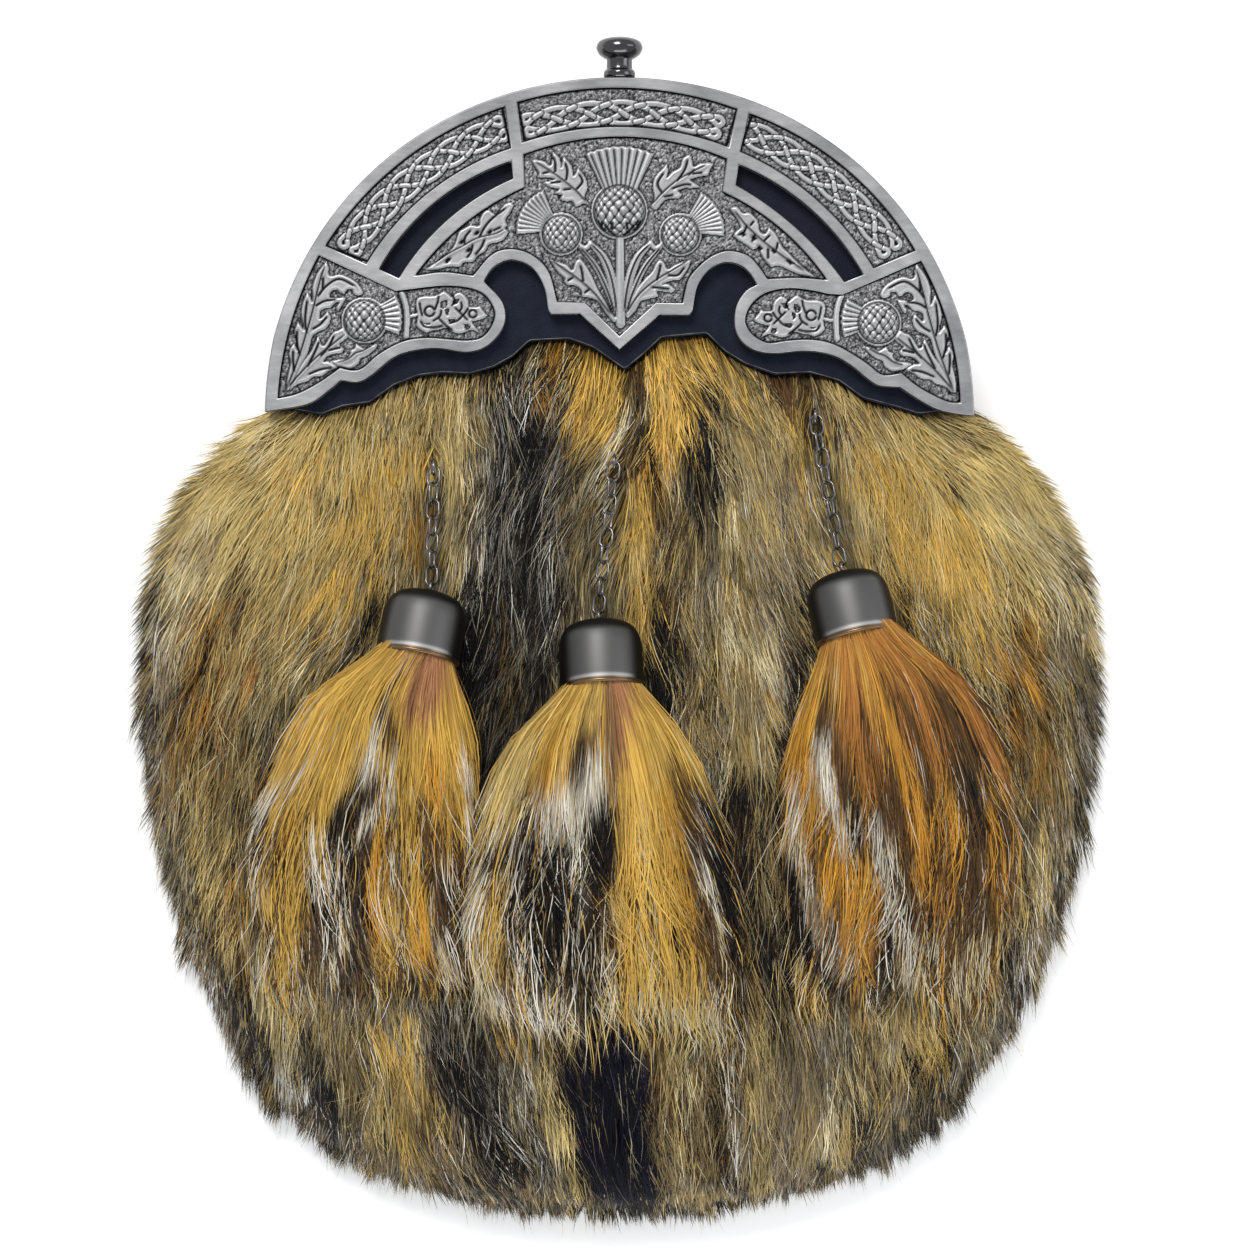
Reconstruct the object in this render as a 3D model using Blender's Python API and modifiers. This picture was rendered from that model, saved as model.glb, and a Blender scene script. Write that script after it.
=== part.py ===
"""Full-dress sporran: a half-round cast cantle on a leather board, a hollow leather
pouch with a long-haired fur front, and three fur tassels on fine link chains.

It lies on its back: X runs across it, Y towards the knob, Z out of its front. The
origin is on the supporting surface, under the middle of the bounding box. All tables
are in millimetres and MM turns them into metres.
"""
import math

import bmesh
import bpy
from mathutils import Matrix, Vector

MM = 0.001
NAME = "sporran_pouch"

# ---- heights of the layers above the supporting surface, mm
BACK_Z = (0.0, 2.0)
GUSSET_Z = (2.3, 19.7)
FRONT_Z = (20.0, 22.0)
BOARD_Z = (22.3, 24.8)
CANTLE_LOW = 22.3          # lower edge of the turned-down rim
CANTLE_BACK = 25.1         # back of the cantle's plate
FIELD_Z = 28.1             # floor of the sunk fields
RIM_Z = 28.9               # top of the rims
FUR_LOW, FUR_SPLIT, FUR_TOP = 0.35, 22.2, 29.6
WALL = 2.0                 # leather wall

# ---- cantle
ARC_Y = 44.35              # height of the cantle's arc centre
SKIRT = 1.5                # wall of the turned-down rim
BOARD_INSET, BAG_INSET = 1.95, 3.3
MOUTH_Y = 78.0             # top edge of the back panel

# Lower edge of the cantle, left tip to the middle point. corner: 1 is a sharp turn.
CANTLE_EDGE = (
    # x, y, corner
    (-82.6, 50.0, 1), (-72.6, 51.8, 0), (-67.5, 55.1, 0), (-64.9, 57.3, 1),
    (-60.9, 56.9, 0), (-57.6, 58.6, 0), (-51.5, 63.2, 0), (-43.3, 64.8, 0),
    (-35.6, 63.9, 0), (-30.4, 65.6, 0), (-26.9, 70.1, 0), (-27.2, 75.4, 0),
    (-31.6, 80.4, 1), (-29.3, 83.6, 0), (-25.3, 85.4, 0), (-20.5, 83.6, 0),
    (-17.6, 79.0, 0), (-16.6, 73.6, 0), (-15.7, 72.7, 1), (-9.2, 72.8, 1),
    (0.0, 64.5, 1),
)
# The same for the right half, as if seen in a mirror: the casting isn't quite even.
CANTLE_EDGE_RIGHT = (
    (-82.7, 48.95, 1), (-77.2, 49.7, 0), (-73.3, 50.8, 0), (-69.5, 52.9, 0), (-66.7, 54.7, 0),
    (-65.3, 55.7, 1), (-63.0, 55.8, 0), (-60.0, 56.2, 0), (-57.3, 58.0, 0), (-54.3, 60.5, 0),
    (-50.5, 62.8, 0), (-46.3, 63.9, 0), (-42.1, 64.1, 0), (-37.2, 63.6, 0), (-33.4, 63.8, 0),
    (-30.2, 64.9, 0), (-27.9, 67.0, 0), (-26.8, 70.1, 0), (-27.2, 74.6, 0), (-29.4, 78.1, 0),
    (-32.0, 79.6, 1), (-30.2, 82.4, 0), (-27.9, 84.2, 0), (-24.8, 84.8, 0), (-21.7, 83.6, 0),
    (-19.4, 81.3, 0), (-18.0, 78.6, 0), (-17.4, 75.6, 0), (-17.0, 73.3, 0), (-16.1, 72.5, 1),
    (-9.3, 72.55, 1), (0.0, 64.5, 1),
)

# Lower edge of the leather board, left tip to right tip.
BOARD_EDGE = (
    # x, y, corner
    (-80.6, 51.1, 1), (-74.2, 50.2, 0), (-69.7, 49.4, 0), (-64.8, 51.3, 1),
    (-58.5, 52.2, 0), (-52.7, 56.3, 0), (-47.0, 58.5, 0), (-41.5, 59.2, 0),
    (-35.0, 58.9, 1), (-29.5, 60.5, 0), (-25.0, 63.0, 0), (-21.1, 66.6, 1),
    (-11.7, 67.1, 0), (-6.0, 65.0, 0), (1.2, 59.9, 1), (5.5, 63.4, 0),
    (9.8, 67.4, 1), (20.4, 68.4, 1), (24.6, 64.2, 0), (29.3, 61.3, 0),
    (36.4, 58.8, 1), (44.5, 59.2, 0), (51.5, 57.2, 0), (57.0, 53.2, 0),
    (64.6, 51.2, 1), (70.0, 49.5, 0), (74.2, 50.0, 0), (80.6, 51.1, 1),
)

# Sunk fields and windows of the left half, clockwise. rise: height of the arc that
# joins a corner to the next corner (0 is a straight edge). The _RIGHT tables are the
# right half's, as if seen in a mirror.
WINDOW = (
    # x, y, corner, rise
    (-56.0, 83.2, 1, 3.8), (-25.2, 108.4, 1, 0), (-24.8, 104.3, 1, -2.8), (-51.4, 81.1, 1, 0),
)
WINDOW_RIGHT = (
    (-56.8, 81.9, 1, 3.3), (-27.8, 107.6, 1, 0), (-27.1, 102.8, 1, -1.9), (-52.4, 80.2, 1, 0),
)
PANEL_SIDE_TOP = (
    (-68.5, 88.6, 1, 4.6), (-26.7, 121.1, 1, 0), (-25.3, 111.4, 1, -3.9), (-59.0, 84.4, 1, 0),
)
PANEL_SIDE_TOP_RIGHT = (
    (-68.9, 87.5, 1, 4.4), (-30.2, 119.5, 1, 0), (-28.1, 110.6, 1, -3.3), (-59.2, 83.4, 1, 0),
)
PANEL_TOP = (
    (-23.8, 122.1, 1, 4.1), (27.4, 120.5, 1, 0), (25.5, 111.6, 1, -4.2), (-22.7, 112.7, 1, 0),
)
FIELD_SIDE = (
    (-79.6, 53.1, 1, 1.9), (-70.0, 86.4, 1, 0), (-52.2, 78.05, 1, 0), (-44.5, 79.0, 0, 0),
    (-39.8, 79.3, 0, 0), (-34.6, 78.7, 0, 0), (-31.0, 76.8, 0, 0), (-29.0, 72.6, 0, 0),
    (-31.2, 68.0, 0, 0), (-35.2, 66.6, 0, 0), (-44.5, 67.2, 0, 0), (-50.6, 66.3, 0, 0),
    (-56.2, 63.3, 0, 0), (-59.8, 60.2, 0, 0), (-62.2, 59.6, 0, 0), (-65.1, 60.2, 1, 0),
    (-70.0, 56.8, 0, 0), (-75.0, 54.2, 0, 0),
)
FIELD_SIDE_RIGHT = (
    (-79.4, 52.1, 1, 2.1), (-70.2, 85.1, 1, 0), (-52.0, 77.2, 1, 0), (-48.7, 77.4, 0, 0),
    (-45.5, 78.1, 0, 0), (-41.0, 78.7, 0, 0), (-37.2, 78.5, 0, 0), (-33.4, 77.3, 0, 0),
    (-30.5, 74.6, 0, 0), (-29.3, 71.4, 0, 0), (-30.1, 69.1, 0, 0), (-32.0, 67.2, 0, 0),
    (-34.9, 66.0, 0, 0), (-38.7, 66.5, 0, 0), (-42.9, 66.8, 0, 0), (-47.1, 66.5, 0, 0),
    (-50.9, 65.3, 0, 0), (-54.7, 63.2, 0, 0), (-58.1, 60.9, 0, 0), (-60.4, 59.0, 0, 0),
    (-62.3, 58.5, 0, 0), (-65.7, 59.0, 1, 0), (-69.1, 56.2, 0, 0), (-73.0, 53.9, 0, 0),
    (-76.7, 52.3, 0, 0),
)
# left half of the middle field, from its top corner down to the middle point
FIELD_MIDDLE = (
    (-22.35, 109.9, 1, 0), (-22.0, 102.3, 1, -2.2), (-47.6, 81.7, 1, 0), (-41.0, 82.5, 0, 0),
    (-34.1, 81.7, 1, 0), (-30.0, 86.4, 0, 0), (-25.7, 87.9, 0, 0), (-20.7, 86.7, 0, 0),
    (-16.6, 82.8, 0, 0), (-14.5, 75.6, 1, 0), (-8.0, 75.4, 1, 0), (0.0, 67.6, 1, 0),
)
FIELD_MIDDLE_RIGHT = (
    (-25.0, 108.9, 1, 0), (-23.9, 101.3, 1, -2.2), (-48.3, 80.7, 1, 0), (-41.4, 81.2, 0, 0),
    (-34.5, 80.9, 1, 0), (-32.1, 84.3, 0, 0), (-29.7, 86.5, 0, 0), (-25.6, 87.5, 0, 0),
    (-22.2, 86.6, 0, 0), (-19.4, 84.7, 0, 0), (-16.3, 81.3, 0, 0), (-15.3, 78.2, 0, 0),
    (-14.7, 75.3, 1, 0), (-8.4, 75.4, 1, 0), (0.0, 67.6, 1, 0),
)
FIELD_MIDDLE_RISE = 4.65   # arc over its top edge

# ---- pouch and fur outlines, shoulder to bottom middle (right side, mirrored)
BAG_SIDE = (
    # x, y
    (79.2, 52.0), (83.6, 40.0), (87.2, 25.0), (89.4, 6.0), (89.6, -12.0), (87.6, -34.0),
    (83.0, -55.0), (75.4, -75.0), (63.6, -93.0), (47.0, -106.5), (25.0, -114.0), (0.0, -116.0),
)
FUR_SIDE = (
    (82.4, 50.4), (94.0, 39.0), (103.5, 25.0), (109.6, 6.0), (111.0, -14.0), (109.4, -38.0),
    (104.4, -62.0), (95.6, -85.0), (82.0, -106.0), (62.0, -124.0), (34.0, -134.6), (0.0, -137.7),
)
FUR_MID = 0.52             # where the front pelt meets the side pelt, bag to fur edge

# ---- knob, (radius, height) from its shank to its top
KNOB_PROFILE = (
    (0.0, -1.3), (1.2, -1.3), (1.2, 0.0), (3.45, 0.0), (3.7, 0.4), (3.7, 1.2), (3.45, 1.7),
    (3.06, 2.2), (3.02, 4.2), (3.45, 4.5), (4.65, 5.35), (5.3, 6.4), (5.45, 7.2), (5.0, 8.3),
    (3.9, 9.0), (2.2, 9.4), (0.0, 9.55),
)
KNOB_Z = 25.5
KNOB_BASE = 128.15

# ---- tassel cups, outer (radius, height above the lip)
CUP_PROFILE = ((9.7, 0.0), (9.55, 5.0), (9.3, 9.0), (8.5, 12.2), (6.4, 14.8), (3.2, 16.1), (0.0, 16.4))
CUP_WALL = 0.9
CUP_PITCH = 14.0           # the open end is raised by the brush it holds, degrees
CUP_Z = 41.2
EYE_HEIGHT = 17.5          # centre of the cup's wire eye above the lip
EYE_RADIUS, EYE_WIRE = 1.45, 0.36

# ---- chains
LINK_LENGTH, LINK_WIDTH, LINK_WIRE, PITCH = 5.1, 3.5, 0.25, 3.9
LINK_TURN = (25.0, -65.0)  # odd and even links turn about the chain's line, degrees
STAPLE_Z = 32.2

TASSELS = (
    # name, lip x, lip y, lean (degrees, + towards +X at the eye), links, staple x
    ("left", -46.6, -7.9, 10.0, 7, -43.1),
    ("centre", -3.9, -14.7, -3.0, 9, -1.2),
    ("right", 54.8, -3.4, -12.0, 9, 45.4),
)
BRUSH = {
    # y, left x, right x, top z
    "left": ((-17.0, -64.0, -37.5, 48.4), (-28.5, -73.5, -36.0, 48.0), (-41.0, -79.0, -35.5, 46.8),
             (-54.0, -82.0, -36.2, 45.0), (-66.0, -81.0, -38.5, 42.6), (-77.0, -75.5, -42.0, 39.0),
             (-85.0, -68.0, -47.5, 35.0)),
    "centre": ((-24.0, -17.5, 10.5, 48.6), (-37.8, -25.0, 17.0, 48.2), (-51.6, -29.0, 20.8, 47.0),
               (-67.8, -32.0, 23.8, 44.8), (-81.6, -31.0, 22.8, 41.6), (-90.0, -26.0, 19.8, 38.4),
               (-96.0, -15.0, 14.0, 34.6)),
    "right": ((-13.5, 44.8, 71.5, 48.4), (-26.2, 41.6, 80.5, 48.0), (-40.1, 40.0, 85.6, 46.8),
              (-54.0, 40.2, 87.2, 45.0), (-66.5, 42.2, 86.0, 42.4), (-78.0, 46.2, 82.5, 39.2),
              (-88.0, 53.5, 75.0, 35.4)),
}
BRUSH_LOW = 30.2

# ---- strap keepers, plain leather loops on the back of the front panel
KEEPER_X, KEEPER_WIDE = 37.0, 18.0
KEEPER_Y, KEEPER_Z = (81.0, 107.0), (12.0, 19.7)
KEEPER_WALL = 1.6


# ---------------------------------------------------------------- collections and looks
for old in list(bpy.data.objects):
    bpy.data.objects.remove(old, do_unlink=True)

PARTS = bpy.data.collections.new(NAME)
CUTTERS = bpy.data.collections.new("cutters")
bpy.context.scene.collection.children.link(PARTS)
bpy.context.scene.collection.children.link(CUTTERS)


def material(name, colour, roughness, metallic):
    mat = bpy.data.materials.new(name)
    mat.use_nodes = True
    shader = mat.node_tree.nodes["Principled BSDF"]
    shader.inputs["Base Color"].default_value = (*colour, 1.0)
    shader.inputs["Roughness"].default_value = roughness
    shader.inputs["Metallic"].default_value = metallic
    mat.diffuse_color = (*colour, 1.0)
    return mat


PEWTER = ((0.47, 0.47, 0.49), 0.36, 1.0)
GUNMETAL = ((0.16, 0.16, 0.17), 0.28, 1.0)
BOARD_LEATHER = ((0.013, 0.017, 0.028), 0.42, 0.0)
POUCH_LEATHER = ((0.018, 0.015, 0.014), 0.55, 0.0)
FUR = ((0.40, 0.28, 0.12), 0.8, 0.0)
TASSEL_FUR = ((0.45, 0.22, 0.06), 0.8, 0.0)


def add(name, mesh, look, collection=PARTS, smooth=0.0):
    ob = bpy.data.objects.new(name, mesh)
    collection.objects.link(ob)
    if look is not None:
        mesh.materials.clear()
        mesh.materials.append(material(name + "_look", *look))
    if smooth:
        mesh.shade_smooth()
        mesh.set_sharp_from_angle(angle=math.radians(smooth))
    return ob


# ---------------------------------------------------------------- outlines
def spline_points(pts, step):
    """Points along a Catmull-Rom curve through pts, without the last one."""
    ends = [pts[0] * 2 - pts[1]] + pts + [pts[-1] * 2 - pts[-2]]
    out = []
    for i in range(1, len(ends) - 2):
        a, b, c, d = ends[i - 1:i + 3]
        n = max(1, round((c - b).length / step))
        for k in range(n):
            t = k / n
            out.append(0.5 * (2 * b + (c - a) * t + (2 * a - 5 * b + 4 * c - d) * t * t
                              + (3 * b - a - 3 * c + d) * t ** 3))
    return out


def arc_points(a, b, rise, step):
    """Points along the arc from a to b that stands rise to the left of it."""
    chord = b - a
    if abs(rise) < 1e-6:
        return [a]
    radius = (chord.length ** 2 / 4 + rise ** 2) / (2 * rise)
    left = Vector((-chord.y, chord.x)).normalized()
    centre = (a + b) / 2 - left * (radius - rise)
    turn = -2 * math.atan2(chord.length / 2, radius - rise)
    if rise < 0:
        turn = 2 * math.atan2(chord.length / 2, -(radius - rise))
    n = max(2, round(abs(turn * radius) / step))
    out = []
    for k in range(n):
        out.append(centre + Matrix.Rotation(turn * k / n, 2) @ (a - centre))
    return out


def trace(rows, step, closed=True):
    """The points of a table of corners and smooth points."""
    rows = [tuple(r) + (0,) * (4 - len(r)) for r in rows]
    if closed:
        rows = rows + [rows[0]]
    out, run, rise = [], [Vector(rows[0][:2])], rows[0][3]
    for x, y, corner, next_rise in rows[1:]:
        run.append(Vector((x, y)))
        if corner:
            out += spline_points(run, step) if len(run) > 2 else arc_points(run[0], run[1], rise, step)
            run, rise = [run[-1]], next_rise
    if len(run) > 1:
        out += spline_points(run, step)
        run = [run[-1]]
    if not closed:
        out.append(run[0])
    return out


def flip(pts):
    return [Vector((-p.x, p.y)) for p in reversed(pts)]


def rim_radius(angle):
    """The cantle's arc is a little fuller at its haunches and tucks in at the tips."""
    a = math.degrees(angle)
    a = min(a, 180 - a)
    tuck = min(max((a - 4) / 12, 0), 1)
    return 82.8 + 0.75 * tuck + 0.85 * math.sin(2 * angle) ** 2


def rim_arc(inset, low, step):
    """The outer arc, right to left, less inset, from low degrees above the tips."""
    n = round((180 - 2 * low) * math.pi / 180 * 83 / step)
    out = []
    for k in range(n + 1):
        a = math.radians(low + (180 - 2 * low) * k / n)
        r = rim_radius(a) - inset
        out.append(Vector((r * math.cos(a), ARC_Y + r * math.sin(a))))
    return out


def cantle_outline(step):
    left = trace(CANTLE_EDGE, step, closed=False)
    right = flip(trace(CANTLE_EDGE_RIGHT, step, closed=False))
    arc = [p for p in rim_arc(0, 3.15, step)[1:] if p.x > 0 or p.y > CANTLE_EDGE[0][1] + step / 3]
    return left + right[1:] + arc


def board_outline(step):
    return trace(BOARD_EDGE, step, closed=False) + rim_arc(BOARD_INSET, 5.4, step)


def side_curve(rows, step):
    """Shoulder to bottom middle of the pouch's outline."""
    return spline_points([Vector(r) for r in rows], step) + [Vector(rows[-1])]


def bag_outline(step):
    right = side_curve(BAG_SIDE, step)
    return right + flip(right)[1:] + list(reversed(rim_arc(BAG_INSET, 7.5, step)))


def middle_field(step):
    left = trace(FIELD_MIDDLE, step, closed=False)
    right = flip(trace(FIELD_MIDDLE_RIGHT, step, closed=False))
    top = arc_points(left[0], right[-1], FIELD_MIDDLE_RISE, step)
    return left + right[1:] + list(reversed(top[1:]))


def clip_below(pts, y_top):
    """The part of a closed outline below y_top."""
    out = []
    for a, b in zip(pts, pts[1:] + pts[:1]):
        if a.y <= y_top:
            out.append(a)
        if (a.y <= y_top) != (b.y <= y_top):
            t = (y_top - a.y) / (b.y - a.y)
            out.append(a + (b - a) * t)
    return out


def signed_area(pts):
    return sum(a.x * b.y - b.x * a.y for a, b in zip(pts, pts[1:] + pts[:1])) / 2


def offset_open(pts, distance):
    """An open run of points moved distance to its left."""
    out = []
    for i, p in enumerate(pts):
        a, b = pts[max(i - 1, 0)], pts[min(i + 1, len(pts) - 1)]
        d = (b - a).normalized()
        out.append(p + Vector((-d.y, d.x)) * distance)
    return out


# ---------------------------------------------------------------- solids
def to_mesh(ob, name):
    """A curve object's evaluated mesh, its caps welded; the curve is removed."""
    graph = bpy.context.evaluated_depsgraph_get()
    mesh = bpy.data.meshes.new_from_object(ob.evaluated_get(graph))
    mesh.name = name
    mesh.transform(ob.matrix_world)
    bpy.data.objects.remove(ob, do_unlink=True)
    bm = bmesh.new()
    bm.from_mesh(mesh)
    bmesh.ops.remove_doubles(bm, verts=bm.verts, dist=2e-6)
    bmesh.ops.recalc_face_normals(bm, faces=bm.faces)
    bm.to_mesh(mesh)
    bm.free()
    return mesh


def flat_mesh(name, outlines, low, high):
    """A plate: filled 2D outlines (inner ones are holes) from z low to z high."""
    curve = bpy.data.curves.new(name, "CURVE")
    curve.dimensions = "2D"
    curve.fill_mode = "BOTH"
    curve.extrude = (high - low) / 2 * MM
    for pts in outlines:
        spline = curve.splines.new("POLY")
        spline.points.add(len(pts) - 1)
        for point, p in zip(spline.points, pts):
            point.co = (p.x * MM, p.y * MM, 0, 1)
        spline.use_cyclic_u = True
    ob = bpy.data.objects.new(name, curve)
    bpy.context.scene.collection.objects.link(ob)
    ob.location.z = (low + high) / 2 * MM
    bpy.context.view_layer.update()
    return to_mesh(ob, name)


def wire_mesh(name, pts, radius, cyclic=True, resolution=1):
    """A wire through pts (mm)."""
    curve = bpy.data.curves.new(name, "CURVE")
    curve.dimensions = "3D"
    curve.bevel_depth = radius * MM
    curve.bevel_resolution = resolution
    curve.use_fill_caps = not cyclic
    spline = curve.splines.new("POLY")
    spline.points.add(len(pts) - 1)
    for point, p in zip(spline.points, pts):
        point.co = (p[0] * MM, p[1] * MM, p[2] * MM, 1)
    spline.use_cyclic_u = cyclic
    ob = bpy.data.objects.new(name, curve)
    bpy.context.scene.collection.objects.link(ob)
    bpy.context.view_layer.update()
    return to_mesh(ob, name)


def boolean(ob, mesh, operation):
    """Cuts or joins a tool mesh; the tool stays, hidden, with the cutters."""
    tool = bpy.data.objects.new(ob.name + "_" + operation.lower(), mesh)
    CUTTERS.objects.link(tool)
    tool.hide_render = True
    tool.display_type = "WIRE"
    mod = ob.modifiers.new(operation.lower(), "BOOLEAN")
    mod.operation = operation
    mod.solver = "EXACT"
    mod.object = tool
    return tool


def joined(name, meshes):
    """One mesh from several that do not touch."""
    bm = bmesh.new()
    for mesh in meshes:
        bm.from_mesh(mesh)
    out = bpy.data.meshes.new(name)
    bm.to_mesh(out)
    bm.free()
    return out


def loft(name, rings, cap_start=True, cap_end=True):
    """A closed body through rings of equally many points, capped at its ends."""
    bm = bmesh.new()
    rows = [[bm.verts.new(Vector(p) * MM) for p in ring] for ring in rings]
    for a, b in zip(rows, rows[1:]):
        n = len(a)
        for i in range(n):
            bm.faces.new((a[i], a[(i + 1) % n], b[(i + 1) % n], b[i]))
    for ring, wanted in ((rows[0], cap_start), (rows[-1], cap_end)):
        if wanted:
            bm.faces.new(ring)
    bmesh.ops.recalc_face_normals(bm, faces=bm.faces)
    bmesh.ops.triangulate(bm, faces=[f for f in bm.faces if len(f.verts) > 4])
    mesh = bpy.data.meshes.new(name)
    bm.to_mesh(mesh)
    bm.free()
    return mesh


def turned(name, profile, look, steps, smooth=40):
    """A profile (radius, height) turned about its own Z."""
    bm = bmesh.new()
    verts = [bm.verts.new((r * MM, 0, h * MM)) for r, h in reversed(profile)]
    for a, b in zip(verts, verts[1:]):
        bm.edges.new((a, b))
    mesh = bpy.data.meshes.new(name)
    bm.to_mesh(mesh)
    bm.free()
    ob = add(name, mesh, look, smooth=0)
    mod = ob.modifiers.new("turn", "SCREW")
    mod.steps = mod.render_steps = steps
    mod.use_merge_vertices = True
    mod.merge_threshold = 0.00005
    mod.use_smooth_shade = True
    return ob


# ---------------------------------------------------------------- cantle, board, knob
STEP = 3.8
windows = [trace(WINDOW, STEP), flip(trace(WINDOW_RIGHT, STEP))]
cantle = add("cantle", flat_mesh("cantle", [cantle_outline(STEP)] + windows, CANTLE_LOW, RIM_Z), PEWTER)
under = rim_arc(SKIRT, 1.0, 4.0)
under += [Vector((-95, 40)), Vector((-95, 0)), Vector((95, 0)), Vector((95, 40))]
boolean(cantle, flat_mesh("cantle_under", [under], CANTLE_LOW - 3, CANTLE_BACK), "DIFFERENCE")
fields = [trace(PANEL_SIDE_TOP, STEP), flip(trace(PANEL_SIDE_TOP_RIGHT, STEP)), trace(PANEL_TOP, STEP),
          trace(FIELD_SIDE, STEP), flip(trace(FIELD_SIDE_RIGHT, STEP)), middle_field(STEP)]
sunk = [flat_mesh("field", [f], FIELD_Z, RIM_Z + 2) for f in fields]
shank = bmesh.new()
bmesh.ops.create_cone(shank, cap_ends=True, segments=12, radius1=1.5 * MM, radius2=1.5 * MM, depth=3.2 * MM,
                      matrix=Matrix.Translation(Vector((0, 127.9, KNOB_Z)) * MM) @ Matrix.Rotation(math.pi / 2, 4, "X"))
shank_mesh = bpy.data.meshes.new("shank")
shank.to_mesh(shank_mesh)
shank.free()
boolean(cantle, joined("sunk_fields", sunk + [shank_mesh]), "DIFFERENCE").name = "cantle_fields"

add("cantle_board", flat_mesh("cantle_board", [board_outline(4.6)], *BOARD_Z), BOARD_LEATHER)

knob = turned("knob", KNOB_PROFILE, GUNMETAL, 14)
knob.location = Vector((0, KNOB_BASE, KNOB_Z)) * MM
knob.rotation_euler.x = -math.pi / 2

# ---------------------------------------------------------------- pouch
bag = bag_outline(10.0)
below_mouth = clip_below(bag, MOUTH_Y)
add("front_panel", flat_mesh("front_panel", [bag], *FRONT_Z), POUCH_LEATHER)
add("back_panel", flat_mesh("back_panel", [below_mouth], *BACK_Z), POUCH_LEATHER)

# the gusset runs from the left end of the mouth round the bottom to its right end
start = max(range(len(below_mouth)), key=lambda i: (below_mouth[i].y, below_mouth[i].x))
wall = below_mouth[start:] + below_mouth[:start]
inner = offset_open(wall, -WALL if signed_area(wall) < 0 else WALL)
inner[0].y = inner[-1].y = MOUTH_Y
add("gusset", flat_mesh("gusset", [wall + list(reversed(inner))], *GUSSET_Z), POUCH_LEATHER)

for side, name in ((-1, "strap_keeper_left"), (1, "strap_keeper_right")):
    (y0, y1), (z0, z1), w = KEEPER_Y, KEEPER_Z, KEEPER_WALL
    ym, zm, r = (y0 + y1) / 2, (z0 + z1) / 2, 2.2
    outer = [Vector((a, b)) for a, b in ((y0, z1), (y0, z0 + r), (y0 + r, z0), (y1 - r, z0), (y1, z0 + r), (y1, z1))]
    hole = [Vector((a, b)) for a, b in ((y0 + w, z1 - 1.1), (y0 + w, z0 + r), (y0 + r, z0 + w), (y1 - r, z0 + w),
                                        (y1 - w, z0 + r), (y1 - w, z1 - 1.1))]
    mesh = flat_mesh(name, [outer, hole], -KEEPER_WIDE / 2, KEEPER_WIDE / 2)
    mesh.transform(Matrix(((0, 0, 1, side * KEEPER_X * MM), (1, 0, 0, 0), (0, 1, 0, 0), (0, 0, 0, 1))))
    add(name, mesh, POUCH_LEATHER)

# ---------------------------------------------------------------- fur
def halves(rows):
    """Two even steps for each row of a side table."""
    pts = [Vector(r) for r in rows]
    ends = [pts[0] * 2 - pts[1]] + pts + [pts[-1] * 2 - pts[-2]]
    out = []
    for i in range(1, len(ends) - 2):
        a, b, c, d = ends[i - 1:i + 3]
        out += [b, 0.5625 * (b + c) - 0.0625 * (a + d)]
    return out + [pts[-1]]


bag_side, fur_side = halves(BAG_SIDE), halves(FUR_SIDE)

# side pelt: a band from the gusset out to the fur's edge. (share of the width, z)
FUR_SECTION = ((0.0, FUR_LOW), (0.82, FUR_LOW), (0.96, 3.5), (1.0, 8.5), (0.93, 14.0), (0.76, 18.6),
               (FUR_MID + 0.03, 21.9), (0.0, 21.9))
rings = []
for b, f in zip(bag_side, fur_side):
    out = (f - b).normalized()
    start = b + out * 0.4
    rings.append([(*(start + (f - start) * u), z) for u, z in FUR_SECTION])
rings += [[(-x, y, z) for x, y, z in ring] for ring in reversed(rings[:-1])]
add("fur_gusset", loft("fur_gusset", rings), FUR, smooth=60)

# front pelt: from the board's edge out to the side pelt, raised towards its middle
edge = [b + (f - b) * FUR_MID for b, f in zip(bag_side, fur_side)]
edge = [p for p in edge if p.y < 47.5]
scallop = [p for p in offset_open(trace(BOARD_EDGE, 5.5, closed=False), -0.55) if abs(p.x) < 78]
scallop = [Vector((-84.4, 48.6))] + scallop + [Vector((84.4, 48.6))]
rim = [Vector((-p.x, p.y)) for p in reversed(edge[:-1])] + scallop + edge
rim_low = [24.0 if p.y < 48 else 25.0 for p in rim]
centre = Vector((0, -35))
fur = bmesh.new()
floor_ring = [fur.verts.new(Vector((p.x, p.y, FUR_SPLIT)) * MM) for p in rim]
rows = [floor_ring]
for share in (1.0, 0.94, 0.84, 0.68, 0.36):
    level = math.sqrt(1 - share ** 5)
    rows.append([fur.verts.new(Vector((*(centre + (p - centre) * share), low + (FUR_TOP - low) * level)) * MM)
                 for p, low in zip(rim, rim_low)])
n = len(rim)
for a, b in zip(rows, rows[1:]):
    for i in range(n):
        fur.faces.new((a[i], a[(i + 1) % n], b[(i + 1) % n], b[i]))
for ring, z in ((floor_ring, FUR_SPLIT), (rows[-1], FUR_TOP)):
    hub = fur.verts.new(Vector((centre.x, centre.y, z)) * MM)
    for i in range(n):
        fur.faces.new((ring[i], ring[(i + 1) % n], hub))
bmesh.ops.recalc_face_normals(fur, faces=fur.faces)
fur_mesh = bpy.data.meshes.new("fur_front")
fur.to_mesh(fur_mesh)
fur.free()
fur_front = add("fur_front", fur_mesh, FUR, smooth=60)


# ---------------------------------------------------------------- tassels and chains
def cup_matrix(x, y, lean):
    """Local Z from the lip to the eye: up the front, leaning sideways, its eye sunk."""
    a, p = math.radians(lean), math.radians(CUP_PITCH)
    axis = Vector((math.sin(a) * math.cos(p), math.cos(a) * math.cos(p), -math.sin(p)))
    across = axis.cross(Vector((0, 0, 1))).normalized()
    up = across.cross(axis)
    m = Matrix((across, up, axis)).transposed().to_4x4()
    m.translation = Vector((x, y, CUP_Z))
    return m


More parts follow.
